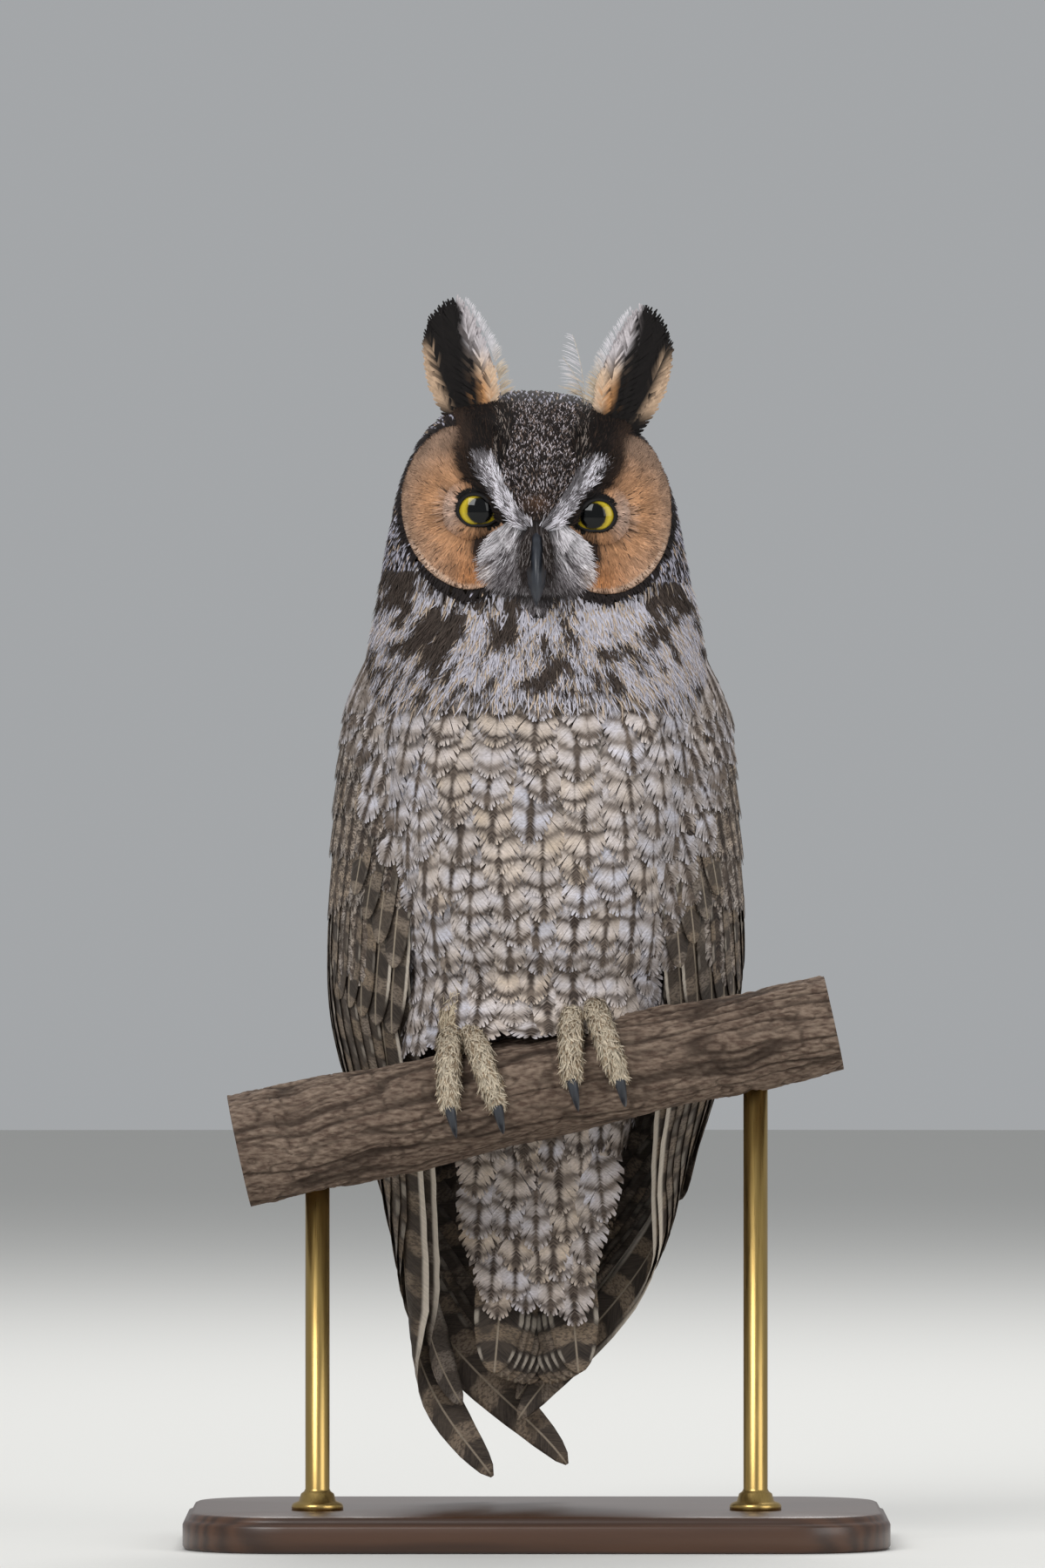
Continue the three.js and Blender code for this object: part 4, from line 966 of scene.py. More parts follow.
# Roots of one kind of bristle on one side
def bristleRoots(kind, side):
    x, z = scatter(kind["tries"], kind["across"], kind["height"], side)
    keep = faceZones(x, z)[kind["zone"]] & (beyondLid(x, z, side) > kind["beyond"])
    return x[keep], z[keep], keep.sum()


# White bristles of one brow, fanning up and outward
def browParts(side):
    kind = bristles["brow"]
    x, z, n = bristleRoots(kind, side)
    brow, half = browZone(z)
    edge = (fromMidline(x, z) - brow) / half
    slope = np.interp(z, [334, 342, 350, 360], [1.3, 0.85, 0.5, 0.35]) + 0.3 * edge
    way = turned(unit(vector(side * slope, 1.0)), kind["wander"])
    tip = painted(tints("#E9E5EC", n, 0.1), tints("#6E6769", n, 0.35), rng.random(n) < 0.25)
    gap = latticeNoise(edge * half / 0.9 + 20 + 0.2 * (z - 345), z / 5, 81 + side)
    tip = painted(tip, "#3B3536", 0.85 * smooth(gap + 0.12 * np.abs(edge), 0.52, 0.72))
    length = rng.uniform(3.2, 5.6, n) * mix(1.0, 1.15, smooth(z, 350, 358))
    lift = rng.uniform(*kind["lift"], n)
    return faceStrands(x, z, way, length, kind["width"], lift, tip, rng.normal(0, 0.1, n), rootShade=0.25)


# Black-brown bristles between the brow, the eye and the tuft
def darkParts(side):
    kind = bristles["dark"]
    x, z, n = bristleRoots(kind, side)
    a = fromMidline(x, z)
    slope = np.interp(z, [335, 344, 352, 362], [1.35, 1.0, 0.5, 0.0]) + (a - 12) * 0.035 * smooth(z, 346, 356)
    way = turned(unit(vector(side * slope, 1.0)), kind["wander"])
    tip, brown = tints("#17110F", n, 0.4), tints("#3B2C23", n, 0.35)
    outer = smooth(a, darkZone(z)[0] - 5, darkZone(z)[0]) * smooth(z, 345, 352)
    tip = painted(tip, brown, 0.8 * np.maximum(outer, rng.random(n) < 0.14))
    tip[(rng.random(n) < 0.12) & (a < 15) & (z > 352)] = linear("#8C8078")
    length = mix(2.6, rng.uniform(4.5, 7.5, n), smooth(beyondLid(x, z, side), 1.0, 1.5))
    lift = rng.uniform(*kind["lift"], n)
    return faceStrands(x, z, way, length, kind["width"], lift, tip, rng.normal(0, 0.12, n), rootShade=0.6)


# Grey-white bristles from the sides of the beak, down and outward, dark at their roots
def loreParts(side):
    kind = bristles["lore"]
    x, z, n = bristleRoots(kind, side)
    a = np.abs(x)
    sideways = mix(0.12, 0.95, smooth(a, 2, 14)) * mix(1.0, 0.6, smooth(320 - z, 0, 8))
    way = turned(unit(vector(side * sideways, -1.0)), kind["wander"])
    bright = smooth(z, 324, 334) * smooth(a, 3.5, 7)
    clump = latticeNoise(np.arctan2(a, 339 - z) * 14 + 20, z / 9, 71 + side)
    pale = 0.6 * rng.random(n) + 0.5 * clump - 0.12 + 0.35 * bright + 0.16 * smooth(a, 8, 14)
    tip = painted(tints("#5E5759", n, 0.3), tints("#A7A1A4", n, 0.15), smooth(pale, 0.3, 0.5))
    tip = painted(tip, tints("#EFEAEE", n, 0.08), smooth(pale, 0.62, 0.72))
    tip = painted(tip, tints("#D9C3B2", n, 0.12), 0.6 * smooth(a, 10, 16) * smooth(324 - z, -3, 4))
    tip = painted(tip, "#2A1F1A", 0.9 * (1 - smooth(a, 3.2, 6.0)) * smooth(z, 316, 323))
    tip = painted(tip, "#2F2A29", bell(z, 314.5, 4) * (1 - smooth(a, 8, 14)))
    tip = painted(tip, "#1F1511", 1.4 * bell(a, 17.4, 2.6) * bell(z, 330, 4.2))
    length = rng.uniform(4.5, 8.0, n) * mix(1.0, 0.6, smooth(318 - z, 0, 7))
    lift = rng.uniform(*kind["lift"], n)
    bend = side * rng.uniform(-0.18, 0.04, n)
    return faceStrands(x, z, way, length, kind["width"], lift, tip, bend, tipShare=0.9, rootShade=0.2)


# Fine dark and pale flecks of the forehead: short strands, dark at their roots
def foreheadParts(side):
    kind = bristles["forehead"]
    x, z, n = bristleRoots(kind, side)
    way = turned(unit(vector(side * 0.02 * np.abs(x), 1.0)), kind["wander"])
    chance = rng.random(n)[:, None]
    pale = np.where(chance < 0.13, tints("#C6BCC0", n, 0.15), tints("#7E6C62", n, 0.2))
    tip = np.where(chance < 0.23, pale, tints("#211A18", n, 0.35))
    tip = painted(tip, "#7A5A44", 0.4 * bell(z, 340.5, 2.5) * bell(x, 0, 3.5))
    base = tints("#211A18", n, 0.3)
    length, lift = rng.uniform(1.8, 3.2, n), rng.uniform(*kind["lift"], n)
    made = faceStrands(x, z, way, length, kind["width"], lift, tip, rng.normal(0, 0.15, n))
    share = smooth(made["share"], 0.45, 0.65)
    made["tint"] = painted(base[made["feather"]], tip[made["feather"]], share)
    return made


# Bristles rooted on the sides of the beak's base, which lie over it down to its middle
def beakParts(side):
    n = smallBristles["beak"]
    z = 337 - 14 * rng.random(n) ** 1.4
    x = side * np.sqrt(rng.uniform(0.16, 1, n)) * np.interp(z, [322, 327, 337], [4.6, 4.6, 3.8])
    ridge = np.interp(z, [322, 325, 328, 332.4, 337], [-52.2, -50.6, -48.2, -44.2, -39.5])
    root = vector(x, ridge + 0.16 * x * x, z)
    out = unit(vector(0.3 * x, -0.65, 0.6))
    along = inPlane(vector(side * 0.05 + rng.normal(0, 0.12, n), -0.5, -0.85), out)
    length, lift = rng.uniform(2.6, 5.0, n), rng.uniform(0.4, 1.1, n)
    made = strands(root, along, out, length, smallBristles["width"], lift, roundness=22.0)
    tip = tints("#332B28", n, 0.4)
    tip[rng.random(n) < 0.22] = linear("#8A8280")
    return alongStrands(made, tip, 0.5, smooth(made["share"], 0, 0.7))


# Short black bristles over the lid's outer edge, above the eye and toward the beak
def lashParts(side):
    n = smallBristles["lid"]
    turn = rng.uniform(30, 240, n)
    reach = np.interp(turn, lidTurns, lidOpen) + np.interp(turn, lidTurns, lidWide) * rng.uniform(0.8, 1.1, n)
    reach = eye["cover"] * np.sin(np.radians(reach))
    x = side * (eye["x"] + reach * np.cos(np.radians(turn)))
    z = eye["z"] + reach * np.sin(np.radians(turn))
    way = turned(unit(fromEye(x, z, side)), 0.25)
    tip = tints("#100D0C", n, 0.3)
    length, lift = rng.uniform(0.9, 1.9, n), rng.uniform(0.5, 1.0, n)
    return faceStrands(x, z, way, length, smallBristles["width"], lift, tip)


def makeFace():
    for name, side in sides.items():
        made = discParts(side)
        addStrands(f"disc_feathers_{name}", made, "tawny_feathers", aroundBody(made["points"][::8]))
        parts = [browParts, darkParts, loreParts, foreheadParts, beakParts, lashParts]
        made = joined([part(side) for part in parts])
        addStrands(f"face_bristles_{name}", made, "mottled_feathers", aroundBody(made["points"][::8]))


makeFace()


# Small feathers of the crown, the ruff round the discs and the nape: short strands with up to three colours each
headCoat = {"tries": 94000, "low": 296.0, "dome": 374.0, "top": 379.6, "domeRoots": 2700, "cell": 55.0}


# Roots spread evenly over the head. On its walls each try is kept by how much surface a step of angle and height
# has. On the crown's dome they are spread over its plan.
def headRoots():
    height = rng.uniform(headCoat["low"], headCoat["dome"], headCoat["tries"])
    angle = rng.uniform(-np.pi, np.pi, headCoat["tries"])
    du = (bodySurface(angle + 0.01, height) - bodySurface(angle - 0.01, height)) / 0.02
    dv = (bodySurface(angle, height + 0.1) - bodySurface(angle, height - 0.1)) / 0.2
    area = np.linalg.norm(np.cross(du, dv), axis=1)
    keep = rng.random(headCoat["tries"]) < area / headCoat["cell"] * 0.35
    level = np.linspace(headCoat["dome"], headCoat["top"], 60)
    half = bodyAt(level)[0]
    reach = half[0] * np.sqrt(rng.random(headCoat["domeRoots"]))
    domeAngle = rng.uniform(-np.pi, np.pi, headCoat["domeRoots"])
    return np.concatenate([angle[keep], domeAngle]), np.concatenate([height[keep], np.interp(-reach, -half, level)])


# Feathers lie up the forehead, back over the crown and down the ruff and nape
def headWay(root, out, front):
    low = 1 - smooth(root[:, 2], 316, 340)
    y = mix(1.0, 0.2, low)
    z = -1.2 * np.maximum(out[:, 1], 0) - 0.9 * np.abs(out[:, 0]) - 1.2 * low
    forehead = front * (root[:, 2] > 334) * (np.abs(root[:, 0]) < 30)
    z = z + forehead * np.maximum(-out[:, 1], 0) * 1.6
    x = 0.4 * low * np.sign(root[:, 0]) * smooth(np.abs(root[:, 0]), 3, 20)
    return inPlane(vector(x, y, z) + rng.normal(0, 0.12, (len(root), 3)), out)


# Colours at the four stations of each strand: grey-blue and white flecks on dark brown, browner behind, with a
# black-brown band round the discs and a broken white line under it
def headTints(root, height, r, front):
    n = len(root)
    dark = tints("#2A2322", n, 0.35)
    pale = painted(tints("#B9B6C4", n, 0.15), tints("#B7A08A", n, 0.15), rng.random(n) < 0.2)
    pale = painted(pale, tints("#8F7B68", n, 0.25), 0.7 * smooth(root[:, 1], 5, 30))
    top = smooth(height, 326, 376)
    pale = painted(pale, pale * 0.8, top)
    middle = painted(dark, pale, 0.8 * (rng.random(n) < mix(0.32, 0.12, top)))
    end = painted(dark, pale, rng.random(n) < mix(0.54, 0.2, top))
    below = smooth(326 - height, 0, 6)
    band = front & (r < mix(1.05, 1.085, below)) & (rng.random(n) < 0.95)
    line = front & (r > 1.04) & (r < 1.15) & ~band & (height < 322)
    end = np.where(band[:, None], dark * 0.7, end)
    middle = np.where(band[:, None], dark * 0.7, middle)
    lineTint = np.where(rng.random((n, 1)) < 0.6, linear("#D3D0D8"), linear("#3A3230"))
    end = np.where(line[:, None], lineTint, end)
    return np.stack([dark * 0.8, middle, end, end], 1)


def makeHeadCoat():
    angle, height = headRoots()
    root = bodySurface(angle, height, -0.4)
    a = fromMidline(root[:, 0], height)
    r = discRadius(a, height)
    front = np.sin(angle) < -0.12
    covered = (r < 0.955) | np.stack(faceZones(root[:, 0], height)).any(0)
    hem = 319 - 15 * smooth(np.abs(root[:, 0]), 38, 48) * rng.random(len(height))
    keep = ~(front & (covered | ((r > 1.19) & (height < hem)))) | (height > headCoat["dome"])
    keep &= (height > 298 + 18 * rng.random(len(height))) | front
    angle, height, root, r, front = (v[keep] for v in (angle, height, root, r, front))
    out = normalOf(bodySurface, angle, height)
    along = headWay(root, out, front)
    n = len(root)
    length = rng.uniform(3.6, 5.6, n) * np.where(front & (r < 1.1), 0.75, mix(1.8, 1.0, smooth(height, 304, 320)))
    lift = rng.uniform(0.5, 1.3, n) * mix(0.5, 1.0, smooth(height, 312, 330))
    made = strands(root, along, out, length, 0.85, lift, rng.normal(0, 0.1, n), roundness=40.0)
    made["tint"] = headTints(root, height, r, front).repeat(2, axis=1).reshape(-1, 3)
    for name, part in {"crown_feathers": height > 345, "ruff_feathers": height <= 345}.items():
        addStrands(name, picked(made, part), "mottled_feathers", unrolled(angle, height)[part])


makeHeadCoat()


# Eyes: a round ball with a broad pupil, a yellow iris with fine spokes and a dark rim, and a wet clear coat. Stops
# give the colours from the pupil's middle outward, in centimetres.
eyeStops = [
    (0.0, "#040506"), (0.425, "#040506"), (0.45, "#3A3208"), (0.48, "#9C871F"), (0.57, "#C4AE2C"), (0.66, "#B09A26"),
    (0.74, "#6F5D14"), (0.82, "#14110C"),
]


def eyeFinish(name, side):
    axis = unit(np.array([side * eye["gaze"], -1.0, 0.0]))
    steps = {
        "local": ("less", ("object",), tuple(eyeCentre(side) * millimetre)),
        "ahead": ("DIVIDE", ("along", "local", tuple(axis)), ("length", "local")),
        "reach": ("MULTIPLY", ("SINE", ("ARCCOSINE", "ahead")), eye["radius"]),
        "frayed": ("MULTIPLY_ADD", ("noise", "local", 1400.0, 2.0), 0.5, "reach"),
        "Base Color": ("ramp", ("range", "frayed", 0.0, 10.0)),
    }
    material = newFinish(name, steps, Roughness=0.04, IOR=1.376)
    stops = material.node_tree.nodes["Color Ramp"].color_ramp.elements
    for k, (spot, hexColour) in enumerate(eyeStops):
        stop = stops[k] if k < 2 else stops.new(spot)
        stop.position = spot
        stop.color = colour(hexColour)
    return material


# Bare skin of the lids: black, dry and finely grained
lidFinish = newFinish(
    "bare lid skin, black",
    {
        "grain": ("noise", ("object",), 1800.0, 3.0),
        "Base Color": ("mix", "grain", "#070606", "#171312"),
        "Normal": ("bump", "grain", 0.4, 0.0002),
    },
    Roughness=0.7, Specular_IOR_Level=0.3,
)
lidLook = {"turns": 96, "radius": 9.75, "back": 74.0}


# A point at a distance from an eye's middle, at an angle from straight ahead and a turn from outward over the top
def onBall(side, radius, fromAxis, turn):
    radius, fromAxis, turn = np.broadcast_arrays(radius, fromAxis, turn)
    reach = radius * np.sin(fromAxis)
    return eyeCentre(side) + vector(side * reach * np.cos(turn), -radius * np.cos(fromAxis), reach * np.sin(turn))


def makeEyes():
    for name, side in sides.items():
        down = np.linspace(0.02, np.pi - 0.02, 60)[:, None]
        turn = np.linspace(0, 2 * np.pi, 80, endpoint=False)[None, :] * -side
        rings = onBall(side, eye["radius"], down, turn)
        axis = np.array([0.0, -eye["radius"], 0.0])
        points, faces = closedRings(rings, eyeCentre(side) + axis, eyeCentre(side) - axis)
        finish = eyeFinish(f"wet cornea over a yellow iris, {name}", side)
        addPiece(f"eyeball_{name}", points, faces, finish, "eye", (f"eye_{name}",))
        turn = np.linspace(0, 2 * np.pi, lidLook["turns"], endpoint=False)
        opening = np.radians(np.interp(np.degrees(turn), lidTurns, lidOpen))
        wide = np.radians(np.interp(np.degrees(turn), lidTurns, lidWide))
        back = np.radians(lidLook["back"])
        r = lidLook["radius"]
        section = [
            (r, opening), (r + 0.3, opening - 0.012), (r + 0.62, opening + 0.015), (r + 0.74, opening + 0.06),
            (r + 0.7, opening + 0.5 * wide), (r + 0.5, opening + wide), (r + 0.2, opening + 1.4 * wide),
            (r + 0.15, back + 0 * opening), (r, back + 0 * opening), (r, mix(opening, back, 0.5)),
        ]
        rings = np.stack([onBall(side, radius, away, turn) for radius, away in section], 1)
        faces = gridFaces(lidLook["turns"] + 1, len(section)) % (lidLook["turns"] * len(section))
        faces = faces if side < 0 else faces[:, ::-1]
        addPiece(f"lid_ring_{name}", rings.reshape(-1, 3), [faces], lidFinish, "lid", (f"eyelids_{name}",))


makeEyes()
print("eyes made")

# Beak: horn grown in layers, slate with a paler ridge, satin
hornFinish = newFinish(
    "beak and claw horn, slate",
    {
        "grain": ("noise", ("stretch", ("object",), (1.0, 1.0, 0.25)), 700.0, 3.0),
        "Base Color": ("mix", "grain", "#17191D", "#3A3E46"),
        "Normal": ("bump", "grain", 0.25, 0.0002),
    },
    Roughness=0.36, IOR=1.5,
)

# Rows along each half of the beak: share, Y, Z, radius. Its section is wide by a share of that, and has a ridge.
beak = {
    "upper": {
        "rows": [
            [0, -33, 329, 5.2], [0.25, -41, 327, 5.0], [0.5, -46.5, 321.5, 4.4], [0.75, -49.2, 315.5, 3.2],
            [0.92, -49.3, 311.3, 1.6], [1.0, -48.3, 308.7, 0.35],
        ],
        "stations": 40, "round": 32, "width": 0.78, "ridge": 0.25,
    },
    "lower": {
        "rows": [[0, -34, 318.6, 4.4], [0.5, -40.6, 317.2, 3.8], [0.85, -44.5, 314.5, 2.4], [1.0, -46.7, 312.4, 0.5]],
        "stations": 24, "round": 24, "width": 0.84, "ridge": -0.25,
    },
}


# Rings round a path in the plane of Y and Z. The section is an oval raised to a ridge on top.
def beakRings(half):
    y, z, radius = profile(half["rows"])(np.linspace(0, 1, half["stations"]))
    dy, dz = np.gradient(y), np.gradient(z)
    size = np.hypot(dy, dz)
    upY, upZ = dz / size, -dy / size
    turn = np.linspace(0, 2 * np.pi, half["round"], endpoint=False)[None, :]
    high = np.sin(turn) * (1 + half["ridge"] * np.maximum(0, np.sin(turn)) ** 2)
    radius = radius[:, None]
    return vector(
        radius * half["width"] * np.cos(turn) * (1 - 0.18 * np.maximum(0, np.sin(turn))),
        y[:, None] + upY[:, None] * radius * high,
        z[:, None] + upZ[:, None] * radius * high,
    )


for halfName, beakHalf in beak.items():
    points, faces = closedRings(beakRings(beakHalf))
    inward = [f[:, ::-1] for f in faces]
    addPiece(f"beak_{halfName}_horn", points, inward, hornFinish, "horn", (f"beak_{halfName}",))
print("beak made")


# Ear tufts

# Tips of one tuft's feathers from its outer edge to its inner one: distance out and height
tuftTips = [
    [36.3, 391], [36.8, 399], [34.2, 405.5], [30.6, 409.5], [26.6, 411.2], [22.4, 405], [18.6, 397], [15.4, 389],
]
tuft = {
    "shift": {"left": 6.0, "right": 0.0}, "lean": {"left": 0.07, "right": 0.0}, "half": 4.8, "count": 19, "teeth": 22,
}
# A tuft's outer and inner outline by height, as distance out
tuftOutline = profile([
    [372, 28.5, 12], [377, 32, 10.5], [383, 35.4, 10.5], [390, 37.2, 12.5], [396, 37.5, 15.8], [407, 35.5, 22.4],
    [413, 30, 27],
])


# A black-brown band up to the tip, buff on the outer side below and cream to white with dark flecks on the inner
def tuftTint(out, height, tooth):
    outer, inner = tuftOutline(height)
    u = (outer - out) / (outer - inner) + 0.12 * (tooth - 0.5)
    n = len(out)
    tint = tints("#110D0C", n, 0.25)
    buffShare = (1 - smooth(u, 0.07, 0.15)) * smooth(height, 371, 377) * (1 - smooth(height, 390, 397))
    tint = painted(tint, tints("#BA9E84", n, 0.18), buffShare)
    start = mix(0.6, 0.76, smooth(height, 398, 409))
    creamShare = smooth(u, start, start + 0.07) * smooth(height, 372, 377)
    rim = np.maximum(smooth(u, 0.7, 0.88), smooth(height, 379, 388))
    cream = painted(linear("#B78558"), "#CDB298", rim)
    cream = painted(cream, "#BDB6B8", smooth(height, 386, 394)) * rng.uniform(0.85, 1.15, (n, 1))
    flecks = (tooth > 0.62) * smooth(0.9 - u, 0.0, 0.15) * (height > 380)
    return painted(tint, painted(cream, "#2E2420", 0.85 * flecks), creamShare)


def makeTuft(name, side):
    count = tuft["count"]
    share = np.linspace(0, 1, count)
    tips = np.stack([np.interp(share * 7, np.arange(8), column) for column in zip(*tuftTips)], -1)
    shift, lean = tuft["shift"][name], tuft["lean"][name]
    place = lambda x, y, z: vector(side * (x + shift + lean * (z - 372)), y, z - rollBy(side * (x + shift), z))
    layer = 1.2 * ((np.arange(count) % 3) - 1)
    root = vector(mix(20, 15.5, share), mix(-4.5, -9.5, share) + layer, mix(361, 369, share))
    tip = vector(tips[:, 0], root[:, 1] + 0.12 * (tips[:, 1] - root[:, 2]), tips[:, 1])
    half = tuft["half"] * mix(0.62, 1.1, np.sin(np.pi * share))
    bulge = mix(5.0, -0.6, share)
    root, tip = place(*root.T), place(*tip.T)
    bow = vector(side * bulge, -1.5, 0.0)
    along = unit(tip - root)
    out = inPlane(unit(vector(side * mix(0.25, -0.1, share), -1.0, -0.1)), along)
    length = np.linalg.norm(tip - root, axis=1)
    made = comb(root, along, out, length, half, (0, 0), tuft["teeth"], cup=14.0, bow=bow, ruffle=0.5, ragged=0.14)
    x, _, z = made["points"].T
    height = z + rollBy(x, z)
    tint = tuftTint(side * x - shift - lean * (height - 372), height, made["tooth"])
    mapPlace = vector(0.3 + 0.3 * share + 0.05 * side, np.linspace(0.8, 0.9, count))
    addCombed(
        f"ear_tuft_feathers_{name}", made, tintedFinish, "tuft_feathers", {"tint": tint}, mapPlace, patchSize["tuft"],
        (f"ear_tuft_{name}",),
    )


# Loose pale barbs: on the inner edge of each tuft, and a wispy plume of them beside the left one. Each barb leaves a
# bent shaft at an angle and stands clear of its neighbours.
plumes = {
    "tuft_barbs_left": {
        "foot": (19.0, -9.5, 371), "end": (31.5, -6.0, 407), "bow": -3.0, "side": -1, "barbs": 170, "length": 4.2,
        "height": (0.12, 1.0),
    },
    "tuft_barbs_right": {
        "foot": (-11.5, -9.5, 374), "end": (-23.5, -6.0, 410), "bow": 3.0, "side": 1, "barbs": 170, "length": 4.2,
        "height": (0.12, 1.0),
    },
    "plume": {
        "foot": (16.0, -8.0, 372), "end": (12.0, -5.0, 398.6), "bow": 1.2, "side": -1, "barbs": 30, "length": 8.6,
        "height": (0.15, 1.0),
    },
    "plume_low": {
        "foot": (16.5, -7.5, 372), "end": (9.0, -4.0, 391), "bow": 1.6, "side": -1, "barbs": 18, "length": 7.0,
        "height": (0.3, 1.0),
    },
}


def makePlumes():
    parts = []
    for plume in plumes.values():
        foot, end = np.array(plume["foot"]), np.array(plume["end"])
        t = np.sort(rng.uniform(*plume["height"], plume["barbs"]))
        bowed = np.array([plume["bow"], 0.0, 0.0])
        shaft = lambda t: foot + (end - foot) * t[:, None] + bowed * (4 * t * (1 - t))[:, None]
        up = unit(shaft(t + 0.01) - shaft(t - 0.01))
        outward = np.tile([0.0, -1.0, 0.0], (len(t), 1))
        across = np.cross(up, outward) * plume["side"]
        along = unit(up * mix(0.6, 1.5, t)[:, None] + across + rng.normal(0, 0.08, (len(t), 3)))
        length = plume["length"] * np.sqrt(1.02 - t) * rng.uniform(0.6, 1.15, len(t)) + 1.0
        barbs = strands(shaft(t), along, outward, length, 0.3, 0.3, 0.22 * plume["side"], roundness=60.0)
        tip = painted(tints("#CDBBA4", len(t), 0.15), tints("#DBD8DC", len(t), 0.12), smooth(t, 0.3, 0.6))
        parts.append(alongStrands(barbs, tip, 0.7, barbs["share"]))
        if plume["length"] > 5:
            line = np.linspace(0, 1, 14)
            stem = strands(shaft(line[:-1]), unit(np.diff(shaft(line), axis=0)), outward[:13], 2.6, 0.4, 0.0)
            stem["tint"] = np.tile(linear("#B9B2A8"), (len(stem["points"]), 1))
            parts.append(stem)
    made = joined(parts)
    addStrands("tuft_barbs", made, "tuft_feathers", aroundBody(made["points"][::8] - [0, 0, 30]))


for sideName, sideSign in sides.items():
    makeTuft(sideName, sideSign)
makePlumes()
print("ear tufts made")


# Wings

# Rows of the folded wing: height, half width of the body there, middle in Y, depth in front, depth behind
upperWing = [
    [100, 46, 27, 16, 21], [125, 51, 25, 21, 25], [150, 59, 22, 28, 29], [175, 66, 20, 36, 33],
    [200, 68.3, 18, 48, 36], [225, 68, 16, 51, 37], [250, 66.3, 12, 49, 39], [270, 64, 8, 45, 40],
    [283, 61, 5, 42, 43], [291, 57.9, 3.5, 42.5, 44],
]
lowerWing = {
    "left": [[16, 20, 34, 6, 6], [40, 27, 33, 8, 9], [60, 33, 31, 10, 13], [80, 39.5, 29, 13, 17]],
    "right": [[16, 24, 34, 6, 6], [40, 36, 33, 8, 9], [60, 41, 31, 10, 13], [80, 43.5, 29, 13, 17]],
}
wings = {
    name: {"side": side, "at": profile(lowerWing[name] + upperWing), "crossing": 5.5 if side < 0 else 0.0}
    for name, side in sides.items()
}


# A point over the folded wing's face at an angle and height, lifted off it
def wingSurface(wing, angle, height, lift=0.0):
    half, middle, front, behind = wing["at"](height)
    c, s = np.cos(angle), np.sin(angle)
    return vector(wing["side"] * (half + lift) * c, middle + (np.where(s < 0, front, behind) + lift) * s, height)


def wingAngle(wing, points):
    half, middle, front, behind = wing["at"](points[..., 2])
    away = points[..., 1] - middle
    return np.arctan2(away / np.where(away < 0, front, behind), wing["side"] * points[..., 0] / half)


# Angles at even distances along the wing's face at one height
def evenAngles(wing, low, high, height, count):
    angle = np.radians(np.linspace(low, high, 61))
    points = wingSurface(wing, angle, np.full(61, float(height)))
    run = np.concatenate([[0], np.cumsum(np.linalg.norm(np.diff(points, axis=0), axis=1))])
    return np.interp(np.linspace(0, run[-1], count), run, angle)


# Share of a flight feather's half width: half at the root, full past the middle, rounded at the tip
def vaneWidth(t):
    return mix(0.5, 1.0, smooth(t, 0, 0.5)) * np.sqrt(np.maximum(0, 1 - np.maximum(0, (t - 0.6) / 0.4) ** 2.4))


# Stiff vanes as thin closed plates: rings of outer and inner points at stations along each feather
vanePlate = {"stations": 34, "shares": 9, "thick": 0.34}


# Place gives a point for a station, a distance across and a height off the vane's middle. The vane's own length is
# measured along its shaft unless it is given.
def plates(count, half, place, vaneLength=None):
    t = 1 - (1 - np.linspace(0, 0.997, vanePlate["stations"])) ** 1.25
    share = np.linspace(-1, 1, vanePlate["shares"])
    shares = np.concatenate([share, share[::-1]])
    face = np.repeat([1.0, -1.0], len(share))
    t, share, face = np.broadcast_arrays(t[None, :, None], shares[None, None, :], face[None, None, :])
    notch = 1 - 0.035 * np.abs(np.sin(t * 61 + share * 2)) * np.abs(share)
    q = share * np.full((count, 1, 1), half) * vaneWidth(t) * notch
    thick = face * 0.5 * vanePlate["thick"] * (1 - 0.75 * share**2)
    t, thick, share = (np.broadcast_to(v, q.shape) for v in (t, thick, share))
    points = place(t, q, thick)
    rows, columns = q.shape[1:]
    j = np.arange(columns // 2 - 1)
    ends = []
    for row, way in ((0, 1), (rows - 1, -1)):
        a = row * columns + j
        d = row * columns + columns - 1 - j
        ends.append(np.stack([a, d, d - 1, a + 1], -1)[:, ::way])
    faces = np.concatenate([gridFaces(rows, columns), *ends])
    start = (np.arange(count) * rows * columns)[:, None, None]
    if vaneLength is None:
        vaneLength = np.linalg.norm(points[:, -1, 4] - points[:, 0, 4], axis=-1)[:, None, None]
    flat = points.reshape(-1, 3)
    return {
        "points": flat,
        "faces": flipIfInward(flat, faces[None] + start),
        "vane": vector(q.ravel(), ((1 - t) * vaneLength).ravel()),
        "feather": np.repeat(np.arange(count), rows * columns),
        "share": t.ravel(),
        "cross": np.abs(share).ravel(),
    }


# Turns the faces of each feather outward, by the sign of its volume
def flipIfInward(points, faces):
    a, b, c, d = (points[faces[..., k]] for k in range(4))
    volume = (np.cross(a, b) * c + np.cross(a, c) * d).sum(-1).sum(1)
    return np.where((volume < 0)[:, None, None], faces[:, :, ::-1], faces).reshape(-1, 4)


